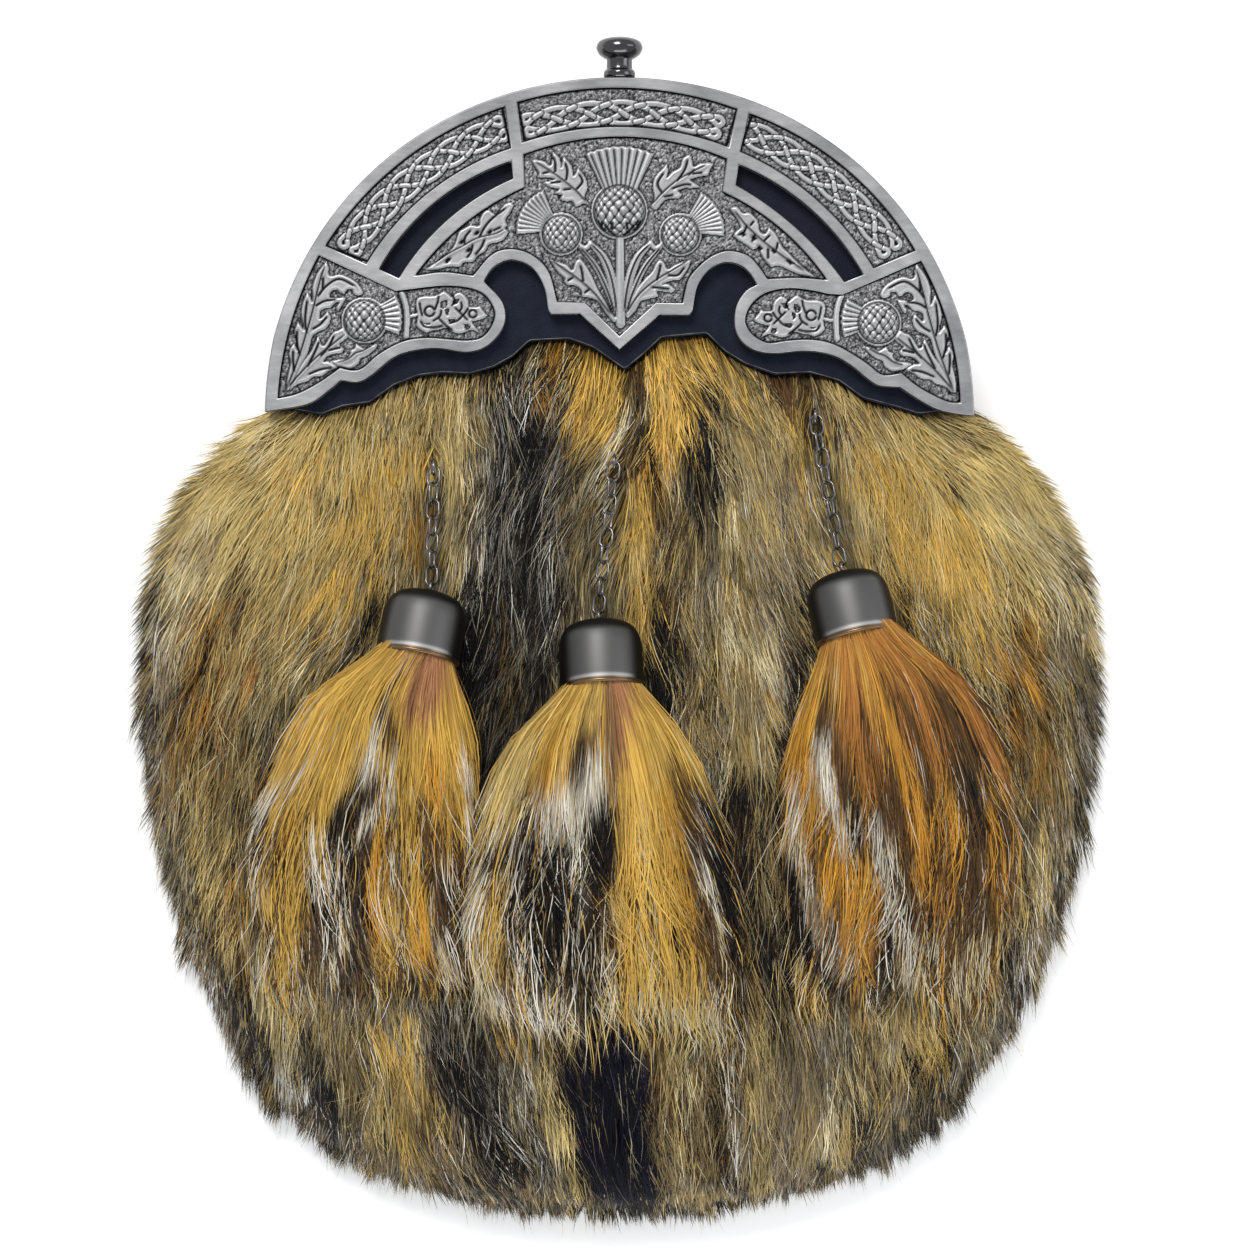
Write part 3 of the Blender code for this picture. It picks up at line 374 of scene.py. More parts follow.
COAT_PLAN = (
    # streak from x, y to x, y, half width, hair, weight
    # shoulders
    (250, 470, 215, 560, 60, "tan", 5), (330, 440, 330, 520, 45, "tan", 2.5), (285, 428, 262, 440, 12, "brown", 3),
    (1000, 470, 1030, 540, 55, "tan", 5), (930, 450, 960, 520, 40, "tan", 3), (955, 425, 985, 440, 18, "brown", 2),
    (200, 520, 165, 640, 22, "cream", 3), (1060, 540, 1085, 620, 24, "cream", 3),
    (250, 560, 225, 760, 35, "sand", 2), (195, 560, 165, 700, 20, "grey", 2.2),
    # left side
    (300, 480, 280, 600, 30, "gold", 2.5), (390, 480, 330, 600, 36, "gold", 4), (430, 480, 425, 560, 14, "amber", 3),
    (205, 620, 175, 800, 20, "amber", 3.6), (235, 640, 215, 790, 16, "rust", 3), (160, 640, 150, 780, 12, "grey", 3),
    (275, 600, 250, 720, 26, "sand", 3), (290, 755, 275, 800, 16, "black", 3.5), (180, 800, 205, 930, 24, "sand", 3),
    (160, 800, 185, 930, 14, "ticked", 3), (235, 800, 240, 930, 22, "olive", 3),
    (215, 950, 250, 1060, 24, "charcoal", 4), (190, 940, 215, 1030, 14, "grey", 4), (310, 1060, 330, 1160, 20, "charcoal", 4.5),
    (275, 960, 290, 1060, 18, "cream", 3), (345, 1030, 365, 1150, 20, "olive", 3), (290, 1090, 305, 1140, 14, "white", 3),
    # dark ticked stripe between left and centre tassels
    (490, 385, 500, 560, 26, "ticked", 5), (540, 380, 520, 560, 20, "charcoal", 3.6), (515, 560, 510, 900, 26, "ticked", 5),
    (470, 620, 470, 900, 18, "black", 4.5), (505, 610, 510, 700, 10, "amber", 5), (535, 600, 540, 760, 18, "charcoal", 4.5),
    (460, 400, 455, 480, 22, "sand", 3), (450, 395, 440, 450, 12, "olive", 3), (555, 345, 545, 410, 11, "amber", 6),
    (500, 440, 490, 560, 9, "white", 2.5), (570, 540, 560, 660, 16, "ticked", 3), (580, 500, 585, 600, 12, "olive", 3),
    (520, 820, 505, 960, 18, "charcoal", 3), (490, 900, 480, 1000, 22, "ticked", 4),
    # top centre
    (600, 360, 595, 430, 22, "gold", 8), (590, 380, 575, 440, 10, "amber", 5), (640, 385, 630, 470, 12, "brown", 7),
    (635, 400, 600, 470, 8, "white", 1.6), (645, 410, 590, 485, 9, "cream", 2.6), (675, 345, 672, 440, 24, "gold", 14),
    (702, 405, 705, 510, 13, "charcoal", 6), (660, 445, 655, 520, 14, "amber", 3), (640, 500, 640, 640, 16, "gold", 6),
    (668, 520, 672, 600, 10, "brown", 4), (662, 600, 670, 690, 15, "black", 5),
    # right of the centre
    (740, 370, 735, 520, 24, "olive", 4), (730, 400, 735, 700, 18, "cream", 2.4), (785, 388, 788, 412, 15, "brown", 7),
    (765, 420, 760, 560, 18, "sand", 3), (780, 480, 770, 700, 20, "grey", 2.6), (800, 430, 800, 500, 12, "gold", 3),
    (735, 520, 735, 700, 24, "olive", 4), (765, 600, 765, 760, 14, "cream", 2.6), (740, 800, 745, 980, 22, "charcoal", 5),
    (765, 780, 768, 900, 12, "olive", 4), (790, 880, 800, 1000, 16, "black", 5), (750, 700, 755, 800, 16, "olive", 3),
    (700, 510, 715, 620, 12, "ticked", 3.5),
    # right side
    (860, 400, 862, 460, 16, "olive", 3), (900, 470, 925, 600, 34, "gold", 4.5), (960, 540, 985, 660, 26, "gold", 3),
    (850, 480, 860, 560, 10, "sand", 3), (1030, 640, 1045, 790, 18, "amber", 4), (1005, 660, 1015, 760, 12, "rust", 2.6),
    (1060, 640, 1070, 780, 14, "sand", 3), (1085, 640, 1092, 780, 12, "grey", 3.2), (1020, 780, 1035, 920, 24, "olive", 3.4),
    (1065, 800, 1050, 940, 14, "ticked", 3.6), (1010, 950, 1025, 1040, 16, "charcoal", 4.2), (985, 940, 985, 1040, 14, "cream", 3),
    (1040, 900, 1020, 1000, 12, "white", 2.6), (930, 1040, 930, 1090, 12, "gold", 5), (948, 1050, 940, 1150, 13, "black", 4.6),
    (900, 1100, 880, 1180, 16, "grey", 3), (855, 1100, 858, 1180, 12, "charcoal", 4), (975, 1060, 965, 1110, 14, "grey", 3),
    # bottom
    (400, 1050, 410, 1150, 20, "gold", 4), (385, 1050, 390, 1150, 12, "tan", 3), (440, 1000, 480, 1100, 26, "ticked", 5),
    (490, 1060, 530, 1160, 24, "ticked", 5), (470, 1110, 500, 1190, 16, "charcoal", 3.6), (545, 1070, 575, 1185, 14, "tan", 5),
    (430, 1150, 450, 1195, 14, "grey", 3), (592, 1066, 612, 1180, 24, "navy", 14), (618, 1050, 638, 1190, 20, "navy", 15),
    (595, 1050, 620, 1180, 30, "black", 6), (657, 1070, 664, 1190, 12, "olive", 4), (700, 1050, 705, 1190, 24, "olive", 4),
    (690, 1080, 695, 1180, 9, "cream", 3), (760, 1020, 760, 1180, 26, "sand", 4), (800, 1050, 805, 1170, 20, "olive", 4),
    (735, 1040, 735, 1180, 9, "white", 2.4), (830, 1080, 832, 1170, 12, "cream", 3), (820, 1020, 840, 1100, 14, "ticked", 3),
    (640, 1000, 690, 1040, 20, "olive", 2),
    # painted shade: black, charcoal and brown hair in the hollows round the cups and the tassels
    (378, 606, 362, 648, 11, "black", 6), (474, 606, 480, 690, 13, "black", 7), (556, 640, 540, 690, 9, "charcoal", 5),
    (652, 640, 664, 720, 12, "black", 7), (811, 596, 812, 652, 8, "black", 7), (902, 596, 912, 650, 8, "charcoal", 5),
    (478, 700, 486, 930, 14, "black", 5), (735, 800, 748, 960, 12, "black", 4), (785, 760, 782, 930, 9, "black", 4),
    (240, 800, 235, 960, 10, "charcoal", 3), (1000, 800, 985, 960, 12, "brown", 3),
    # darker streaks and tufts
    (525, 440, 520, 600, 22, "black", 5), (500, 600, 498, 850, 18, "black", 5), (507, 412, 495, 540, 12, "black", 4),
    (540, 400, 535, 470, 8, "black", 4), (470, 470, 470, 560, 8, "brown", 3), (560, 600, 552, 650, 8, "black", 4),
    (213, 640, 208, 760, 9, "black", 4.5), (240, 560, 236, 640, 8, "brown", 3), (185, 700, 190, 800, 8, "charcoal", 4),
    (152, 600, 150, 770, 10, "charcoal", 4), (205, 850, 225, 960, 14, "brown", 4), (200, 900, 220, 990, 12, "black", 4),
    (235, 890, 240, 930, 9, "amber", 4.5), (262, 745, 300, 820, 12, "black", 4), (262, 820, 262, 900, 10, "brown", 3),
    (225, 1010, 290, 1120, 16, "black", 3.6), (284, 1027, 290, 1080, 12, "tan", 5), (325, 1080, 330, 1150, 11, "black", 5),
    (340, 985, 420, 1005, 14, "ticked", 3), (425, 985, 490, 1050, 18, "black", 4), (455, 1070, 500, 1180, 16, "black", 3.4),
    (505, 1075, 530, 1150, 8, "tan", 4), (715, 860, 730, 1040, 16, "black", 5), (762, 870, 775, 1040, 12, "black", 4),
    (745, 900, 748, 1000, 9, "olive", 4), (796, 640, 788, 760, 7, "black", 3.5), (1010, 580, 1020, 640, 9, "brown", 4),
    (1038, 660, 1048, 740, 7, "black", 4), (1012, 700, 1020, 780, 8, "black", 3.5), (985, 870, 1000, 960, 14, "charcoal", 4),
    (1030, 860, 1030, 950, 8, "black", 3.5), (920, 1060, 925, 1140, 12, "black", 6), (985, 950, 1000, 1020, 12, "black", 4),
    (690, 1090, 700, 1180, 12, "brown", 5), (680, 1085, 690, 1150, 6, "black", 6), (722, 1100, 727, 1180, 7, "black", 5),
    (705, 1075, 712, 1120, 6, "brown", 3), (862, 1110, 870, 1180, 9, "black", 4), (775, 1080, 780, 1170, 7, "brown", 4),
    (686, 412, 700, 518, 7, "black", 6), (722, 400, 728, 480, 6, "charcoal", 4), (800, 660, 790, 800, 8, "charcoal", 4),
    (1088, 700, 1092, 850, 10, "charcoal", 4), (1070, 880, 1050, 980, 9, "black", 3.6), (170, 880, 200, 980, 10, "black", 3.6),
    (950, 800, 955, 930, 10, "charcoal", 3), (430, 1060, 440, 1180, 8, "brown", 4), (560, 1090, 575, 1190, 8, "black", 4),
    (470, 1060, 520, 1150, 22, "black", 5), (730, 1060, 735, 1170, 18, "brown", 4), (713, 1060, 720, 1160, 9, "black", 4.5),
    (655, 1050, 665, 1100, 12, "brown", 4), (200, 840, 215, 920, 10, "tan", 3), (1040, 850, 1030, 920, 9, "tan", 3),
    (575, 640, 570, 700, 9, "black", 5), (548, 480, 560, 540, 9, "amber", 3), (620, 345, 640, 385, 16, "gold", 5),
    (530, 395, 535, 480, 22, "black", 14), (528, 480, 522, 600, 28, "black", 20), (500, 580, 498, 640, 20, "black", 9),
    (518, 420, 512, 600, 34, "white", 2.9), (545, 480, 545, 600, 9, "white", 5), (520, 400, 515, 620, 38, "cream", 1.1),
    (560, 430, 553, 500, 5, "white", 4), (535, 350, 532, 400, 6, "cream", 4), (500, 370, 505, 410, 8, "black", 6),
    (545, 400, 520, 620, 40, "ticked", 3),
    (575, 345, 572, 390, 5, "black", 8), (703, 415, 706, 500, 12, "black", 9), (645, 450, 655, 480, 8, "black", 8),
    (600, 365, 592, 430, 20, "gold", 10), (715, 350, 740, 400, 18, "gold", 6), (465, 400, 460, 500, 14, "tan", 4),
    (470, 1060, 520, 1160, 22, "black", 12), (445, 1040, 470, 1100, 12, "black", 8), (490, 1060, 520, 1150, 32, "white", 1.6),
    (470, 1080, 490, 1130, 30, "grey", 2), (615, 1080, 622, 1160, 30, "grey", 0.7), (610, 1080, 622, 1160, 30, "cream", 0.4),
    (630, 1135, 637, 1190, 4, "cream", 16), (800, 1050, 800, 1170, 34, "grey", 5), (845, 1080, 848, 1160, 14, "sand", 4),
    (745, 1080, 745, 1160, 14, "grey", 4), (641, 1064, 648, 1170, 8, "navy", 8), (642, 1120, 644, 1170, 3, "grey", 6),
    (215, 880, 225, 940, 12, "tan", 5), (1035, 860, 1040, 910, 12, "tan", 4), (240, 445, 205, 500, 26, "tan", 5),
    (310, 425, 250, 445, 12, "cream", 4), (1030, 450, 1060, 510, 24, "tan", 5), (735, 820, 745, 1000, 12, "brown", 5),
)


LIGHT_PLAN = (
    # from x, y to x, y, half width, lighter or darker by so many shades
    (675, 350, 680, 430, 36, .9), (595, 360, 592, 430, 28, .4), (205, 850, 215, 930, 34, .5), (1045, 840, 1045, 920, 30, .5),
    (525, 440, 525, 840, 44, -1.6), (470, 1050, 520, 1150, 44, -.9), (405, 1070, 405, 1140, 26, -.4), (200, 640, 200, 760, 32, -.6),
    (1040, 660, 1040, 760, 34, -.5), (608, 1050, 622, 1185, 40, -1.6), (360, 480, 350, 560, 50, -.3), (730, 1060, 735, 1170, 36, -.4),
    (1010, 470, 1030, 530, 40, -.25), (760, 480, 760, 700, 44, .25), (830, 1050, 830, 1160, 34, .2),
)


def light_at(x, y):
    out = np.zeros(len(x))
    for x0, y0, x1, y1, half, more in LIGHT_PLAN:
        a, b = np.array(plan(x0, y0)), np.array(plan(x1, y1))
        d = b - a
        t = np.clip(((x - a[0]) * d[0] + (y - a[1]) * d[1]) / (d @ d), 0, 1)
        dist = np.hypot(x - a[0] - t * d[0], y - a[1] - t * d[1]) / (half * UNIT)
        out += more * np.exp(-dist ** 4)
    return out


def lattice_noise(x, y, cell, seed):
    """Smooth noise of about that cell size, -1 to 1."""
    g = np.random.default_rng(seed).uniform(-1, 1, (64, 64))
    u, v = (x / cell + 31.3) % 63, (y / cell + 17.9) % 63
    i, j = np.floor(u).astype(int), np.floor(v).astype(int)
    fu, fv = u - i, v - j
    fu, fv = fu * fu * (3 - 2 * fu), fv * fv * (3 - 2 * fv)
    return (g[i, j] * (1 - fu) * (1 - fv) + g[i + 1, j] * fu * (1 - fv)
            + g[i, j + 1] * (1 - fu) * fv + g[i + 1, j + 1] * fu * fv)


def strand_mesh(name, pts, width, column, roll, palette=None):
    """Ribbons through pts (strands, points, 3) in mm; column picks each one's colours."""
    palette = PALETTE if palette is None else palette
    n, m, _ = pts.shape
    tangent = np.gradient(pts, axis=1)
    tangent /= np.linalg.norm(tangent, axis=2)[..., None] + 1e-9
    side = np.cross(tangent, np.array((0.0, 0.0, 1.0)))
    side /= np.linalg.norm(side, axis=2)[..., None] + 1e-9
    up = np.cross(side, tangent)
    side = side * np.cos(roll)[:, None, None] + up * np.sin(roll)[:, None, None]
    w = width[..., None] / 2
    left, right = pts - side * w, pts + side * w
    body = np.stack((left[:, :-1], right[:, :-1]), 2).reshape(n, -1, 3)
    verts = np.concatenate((body, pts[:, -1:]), 1)                 # 2(m-1)+1 a strand
    per = verts.shape[1]
    level = np.linspace(0, 1, m)
    stops = np.linspace(0, 1, palette.shape[1])
    shade = np.stack([np.stack([np.interp(level, stops, palette[c, :, k]) for k in range(3)], 1)
                      for c in range(len(palette))])               # columns, levels, rgb
    rows = np.concatenate((np.repeat(np.arange(m - 1), 2), [m - 1]))
    colour = shade[column][:, rows]
    uv_u = np.concatenate((np.tile((0.2, 0.8), m - 1), [0.5]))
    uv = np.stack(((column[:, None] + uv_u[None, :]) / len(palette),
                   np.broadcast_to(0.02 + 0.96 * level[rows], (n, per))), 2)
    quads = np.array([(2 * k, 2 * k + 1, 2 * k + 3, 2 * k + 2) for k in range(m - 2)])
    tri = np.array((2 * (m - 2), 2 * (m - 2) + 1, 2 * (m - 1)))
    base = np.arange(n)[:, None] * per
    loops = np.concatenate(((base[:, None] + quads[None]).reshape(n, -1), base + tri[None]), 1)
    flat = loops.reshape(-1)
    sizes = np.tile(np.array([4] * (m - 2) + [3]), n)
    starts = np.concatenate(([0], np.cumsum(sizes)[:-1]))
    mesh = bpy.data.meshes.new(name)
    mesh.vertices.add(n * per)
    mesh.vertices.foreach_set("co", (verts * MM).astype(np.float32).ravel())
    mesh.loops.add(len(flat))
    mesh.loops.foreach_set("vertex_index", flat.astype(np.int32))
    mesh.polygons.add(len(sizes))
    mesh.polygons.foreach_set("loop_start", starts.astype(np.int32))
    mesh.polygons.foreach_set("loop_total", sizes.astype(np.int32))
    layer = mesh.uv_layers.new(name="OFBake")
    layer.data.foreach_set("uv", uv.reshape(-1, 2)[flat].astype(np.float32).ravel())
    tint = mesh.color_attributes.new("tint", "FLOAT_COLOR", "POINT")
    rgba = np.ones((n * per, 4), np.float32)
    rgba[:, :3] = colour.reshape(-1, 3)
    tint.data.foreach_set("color", rgba.ravel())
    mesh.update(calc_edges=True)
    mesh.shade_smooth()
    return mesh


def hair_material(name, roughness, sheen=0.0):
    mat, tree, shader = principled(name, (0.5, 0.4, 0.3), roughness)
    shader.inputs["Specular IOR Level"].default_value = 0.13
    tint = node(tree, "ShaderNodeVertexColor", layer_name="tint")
    tree.links.new(tint.outputs["Color"], shader.inputs["Base Color"])
    return mat


FUR_LOOK = hair_material("fox_hair", 0.52)


def surface_mesh(name, verts, faces, colour):
    mesh = bpy.data.meshes.new(name)
    mesh.from_pydata([tuple(v) for v in verts * MM], [], faces)
    tint = mesh.color_attributes.new("tint", "FLOAT_COLOR", "POINT")
    rgba = np.ones((len(verts), 4), np.float32)
    rgba[:, :3] = colour
    tint.data.foreach_set("color", rgba.ravel())
    mesh.shade_smooth()
    return mesh


# ---- undercoat: the closed skin of short wool that the hair stands in
def undercoat():
    turns = np.linspace(0, 2 * math.pi, 241)[:-1]
    shares = np.concatenate((np.linspace(0.04, 0.80, 20), np.linspace(0.83, 1.0, 14)))
    verts, rows = [], []
    for s in shares:
        r = outline_radius(turns) * s
        x, y = HUB[0] + r * np.cos(turns), HUB[1] + r * np.sin(turns)
        limit = np.interp(x, _board[:, 0], _board[:, 1]) - 0.5
        y = np.where(np.abs(x) < 80, np.minimum(y, limit), y)
        z = pelt_height(x, y) - 0.6 + lattice_noise(x, y, 2.4, 5) * 0.5
        z = np.where(y > limit - 1.5, np.minimum(z, 22.6), z)
        rows.append(np.stack((x, y, z), 1))
    for inset, z in ((0.6, 5.0), (3.0, 2.2), (6.0, 1.0), (10.0, 0.5), (40.0, 0.45)):
        r = outline_radius(turns) - inset
        x, y = HUB[0] + r * np.cos(turns), HUB[1] + r * np.sin(turns)
        limit = np.interp(x, _board[:, 0], _board[:, 1]) - 0.5
        y = np.where(np.abs(x) < 80, np.minimum(y, limit), y)
        rows.append(np.stack((x, y, np.full(len(x), z)), 1))
    verts = np.concatenate(rows + [np.array([[HUB[0], HUB[1], 28.0]])])
    n = len(turns)
    faces = []
    for k in range(len(rows) - 1):
        for i in range(n):
            j = (i + 1) % n
            faces.append((k * n + i, (k + 1) * n + i, (k + 1) * n + j, k * n + j))
    hub = len(verts) - 1
    faces += [(hub, i, (i + 1) % n) for i in range(n)]
    x, y = verts[:, 0], verts[:, 1]
    w = capsule_weight(x, y, COAT_PLAN)
    w[:, TYPES.index("sand")] += 1.2
    w /= w.sum(1)[:, None]
    # painted shade: the undercoat takes each hair's root colour darkened further, and darker still in the partings
    # along the chains and round their holes
    deep = np.array([linear(np.array(HAIR[t][0]) * 0.8) for t in TYPES])
    parting = np.clip(np.minimum(chain_distance(x, y) / (chain_gap(x, y) * 1.9), hole_distance(x, y) / 6.0) - 0.1, 0.10, 1)
    return surface_mesh("undercoat", verts, faces, (w @ deep) * parting[:, None])


def pick_types(weight, lock, loose, tight, seed):
    """One hair type a strand: streaks share a lock's choice, single hairs differ."""
    g = np.random.default_rng(seed)
    locks = -np.log(-np.log(g.uniform(1e-6, 1 - 1e-6, (lock.max() + 1, len(TYPES)))))
    own = -np.log(-np.log(g.uniform(1e-6, 1 - 1e-6, weight.shape)))
    return np.argmax(np.log(weight + 1e-4) + loose * own + tight * locks[lock], 1)


BRUSH_CLEAR = {
    "left": ((-13, -54, -40), (-28.5, -70, -38.5), (-50.0, -76, -39.5), (-61.0, -70, -45.0)),
    "centre": ((-20, -11, 4), (-37.8, -22, 14.5), (-62.0, -26, 18.5), (-74.0, -20, 12.0)),
    "right": ((-8, 49, 61), (-26.2, 44.5, 77), (-50.0, 44.5, 82.5), (-64.0, 51.0, 76)),
}


def under_brush(x, y):
    hidden = np.zeros(len(x), bool)
    for rows in BRUSH_CLEAR.values():
        t = np.array(rows)[::-1]
        lo, hi = np.interp(y, t[:, 0], t[:, 1]), np.interp(y, t[:, 0], t[:, 2])
        hidden |= (y > t[0, 0]) & (y < t[-1, 0]) & (x > lo) & (x < hi)
    return hidden


def guide_paths(x, y, length, steps, swirl):
    """Points along the lie of the hair from each root."""
    out = [np.stack((x, y), 1)]
    p = out[0]
    turn = lattice_noise(x, y, 9.0, 11) * 0.22 + swirl
    for _ in range(steps - 1):
        f = flow(p[:, 0], p[:, 1])
        c, s = np.cos(turn), np.sin(turn)
        f = np.stack((f[:, 0] * c - f[:, 1] * s, f[:, 0] * s + f[:, 1] * c), 1)
        p = p + f * (length / (steps - 1))[:, None]
        out.append(p)
    return np.stack(out, 1)


def shoulder(x, y):
    """1 on the smooth shoulders, 0 lower down and in the middle."""
    return np.clip((y + 6) / 32, 0, 1) * np.clip((np.abs(x) - 24) / 24, 0, 1)


LOCK_COUNT = 3600
_cx, _cy = rng.uniform(-116, 116, 12000), rng.uniform(-143, 70, 12000)
_inside = (edge_depth(_cx, _cy) > -1.5) & (below_board(_cx, _cy) > -1.5)
LOCK_X, LOCK_Y = _cx[_inside][:LOCK_COUNT], _cy[_inside][:LOCK_COUNT]
LOCK_TREE = kdtree.KDTree(len(LOCK_X))
for _i, (_a, _c) in enumerate(zip(LOCK_X, LOCK_Y)):
    LOCK_TREE.insert((_a, _c, 0), _i)
LOCK_TREE.balance()
LOCK_LENGTH = rng.uniform(13, 21, len(LOCK_X))
LOCK_LENGTH *= np.where(below_board(LOCK_X, LOCK_Y) < 14, 0.8, 1.0)
LOCK_SWIRL = rng.normal(0, 0.21, len(LOCK_X)) * (1 - 0.5 * shoulder(LOCK_X, LOCK_Y))
LOCK_REACH = np.clip(rng.normal(-1.9, 2.3, len(LOCK_X)) + lattice_noise(LOCK_X, LOCK_Y, 6.5, 21) * 2.6, -8.5, 2.6)
LOCK_PUSH = rng.uniform(0, 4.5, len(LOCK_X))
LOCK_LIFT = rng.uniform(0.0, 1.5, len(LOCK_X))
LOCK_SHADE = rng.normal(0, 0.7, len(LOCK_X))


def fur_layer(x, y, steps, length, widths, lift, mixing, seed, fluff=1.0, depth_shade=(1.9, 1.9), parted=True, beyond=0.0):
    """Strands from roots x, y: points, widths, colour column and roll."""
    g = np.random.default_rng(seed)
    n = len(x)
    lock = np.array([LOCK_TREE.find((a, c, 0))[1] for a, c in zip(x, y)])
    smooth = shoulder(x, y)
    guide = guide_paths(LOCK_X, LOCK_Y, LOCK_LENGTH, steps, LOCK_SWIRL)[lock]
    own_path = guide_paths(x, y, LOCK_LENGTH[lock], steps, g.normal(0, 0.2, n) * fluff)
    t = np.linspace(0, 1, steps)
    gather = g.uniform(0.25, 0.95, n) * (1 - 0.5 * smooth)
    own = g.uniform(0.70, 1.12, n) * length
    root = np.stack((x, y), 1)[:, None, :]
    offset = root - guide[:, :1]
    together = guide + offset * (1 - (gather[:, None] * (t ** 1.3)[None])[..., None])
    share = np.clip(0.75 - 0.45 * smooth, 0, 1)[:, None, None]
    path = together * share + own_path * (1 - share)
    path = root + (path - path[:, :1]) * own[:, None, None]
    stray = g.normal(0, 1, (n, 2)) * g.choice((0.6, 2.0), n, p=(0.75, 0.25))[:, None] * fluff * (1 - 0.35 * smooth)[:, None]
    path = path + stray[:, None, :] * (t ** 1.6)[None, :, None]
    wave = g.normal(0, 0.55, (n, 2)) * fluff
    path = path + wave[:, None, :] * np.sin(math.pi * t)[None, :, None]
    # pushed outward at the rim, and parted along the chains
    e = edge_depth(x, y)
    away = np.stack((x, y), 1) - HUB
    away /= np.hypot(away[:, 0], away[:, 1])[:, None]
    push = LOCK_PUSH[lock] * np.clip(1 - e / 14, 0, 1)
    path = path + away[:, None, :] * push[:, None, None] * (t ** 1.4)[None, :, None]
    d, ox, oy = chain_offset(path[..., 0], path[..., 1])
    hollow = chain_gap(path[..., 0], path[..., 1])
    wanted = np.where(d < 6.0, hollow + d * (6.0 - hollow) / 6.0, d)
    scale = wanted / np.maximum(d, 0.05)
    crosses = ((np.sign(ox[:, 1:]) != np.sign(ox[:, :-1])) & (d[:, 1:] < 6) & (d[:, :-1] < 6)).any(1)
    if parted:
        path = path + np.stack((ox * (scale - 1), oy * (scale - 1)), 2)
    else:
        crosses[:] = False
    # ragged ends, lock by lock
    first, last = path[:, 0] - HUB, path[:, -1] - HUB
    r0, r1 = np.hypot(first[:, 0], first[:, 1]), np.hypot(last[:, 0], last[:, 1])
    limit = tip_radius(np.arctan2(last[:, 1], last[:, 0])) + LOCK_REACH[lock] + beyond + g.normal(0, 0.8 + 0.5 * beyond, n)
    room = np.where(r1 > limit, np.clip((limit - r0) / np.maximum(r1 - r0, 0.1), 0.3, 1), 1)
    path = path[:, :1] + (path - path[:, :1]) * room[:, None, None]
    base = pelt_height(path[..., 0], path[..., 1])
    near_chain = chain_distance(x, y)
    up = (g.uniform(lift[0], lift[1], n) + LOCK_LIFT[lock] * (1 - 0.5 * smooth)) * np.clip(near_chain / 7.0, 0.1, 1)
    z = base - 0.7 + (up + 0.7)[:, None] * (t ** 0.75)[None, :] * (1.15 - 0.3 * t)[None, :]
    under = np.clip((1.5 - below_board(path[..., 0], path[..., 1])) / 2.0, 0, 1)
    z = np.where(np.abs(path[..., 0]) < 80, z * (1 - under) + np.minimum(z, 21.6) * under, z)
    z = np.maximum(z, 0.7)
    pts = np.concatenate((path, z[..., None]), 2)
    taper = {3: (0.85, 1.0, 0.0), 4: (0.8, 1.0, 0.75, 0.0), 5: (0.7, 1.0, 0.9, 0.6, 0.0)}[steps]
    width = g.uniform(widths[0], widths[1], n)[:, None] * np.array(taper)[None, :]
    middle = path[:, steps // 2]
    weight = capsule_weight(middle[:, 0], middle[:, 1], COAT_PLAN)
    dark = weight[:, [TYPES.index(k) for k in ("black", "charcoal", "navy")]].sum(1) + 0.4 * weight[:, TYPES.index("ticked")]
    mixed = mixing / (1 + 0.25 * weight.sum(1) + 0.6 * dark)
    lower = np.clip((-55 - y) / 40, 0, 1)
    for kind, part in (("sand", 1.3), ("olive", 0.8), ("tipped", 1.6), ("ticked", 0.7), ("cream", 0.35), ("gold", 0.35),
                       ("brown", 0.6), ("white", 0.10), ("grey", 0.3), ("charcoal", 0.75)):
        calm = 1 - 0.72 * smooth if kind in ("olive", "tipped", "ticked", "brown", "grey", "charcoal", "white") else 1.0
        calm = calm * (1 - 0.6 * lower) if kind in ("gold", "olive") else calm * (1 + 1.5 * lower) if kind == "grey" else calm
        weight[:, TYPES.index(kind)] += part * mixed * calm
    rim = np.clip(1 - e / 13.0, 0, 1) * np.clip((36 - y) / 34, 0, 1)
    for kind, part in (("charcoal", 2.6), ("grey", 2.0), ("white", 0.9), ("tipped", 2.6), ("black", 1.2)):
        weight[:, TYPES.index(kind)] += rim * part
    speckle = np.clip(weight[:, [TYPES.index("ticked")]] / 5, 0, 1)
    kind = pick_types(weight, lock, 0.45 * mixing * (1 - speckle) + 1.05 * speckle, 0.8 - 0.5 * speckle, seed + 100)
    # painted shade: the wool layer under the hair gets a lower shade level than the hair, most of all off the shoulders
    level = depth_shade[0] + (depth_shade[1] - depth_shade[0]) * smooth + (lattice_noise(x, y, 6.0, 9) * 0.9 + LOCK_SHADE[lock]) * (1 - 0.6 * smooth)
    # painted shade in the chains' partings: hair rooted near a chain gets a darker shade level
    level = level + light_at(middle[:, 0], middle[:, 1]) - 2.7 * np.clip(1.4 - near_chain / 2.6, 0, 1)
    shade = np.clip(np.round(level + g.normal(0, 0.6, n) * (1 - 0.45 * smooth)), 0, 3).astype(int)
    roll = g.normal(0, 0.35, n)
    return [a[~crosses] for a in (pts, width, kind * len(SHADES) + shade, roll)]


def coat_roots(count, g, deepest=999.0):
    """Roots all over the pelt, not under the tassels or round the chains' holes."""
    x, y = g.uniform(-113, 113, count * 6), g.uniform(-140, 69, count * 6)
    e, b = edge_depth(x, y), below_board(x, y)
    keep = (e > -0.4) & (e < deepest) & (b > -1.3) & ~under_brush(x, y) & (hole_distance(x, y) > 2.6)
    return x[keep][:count], y[keep][:count]


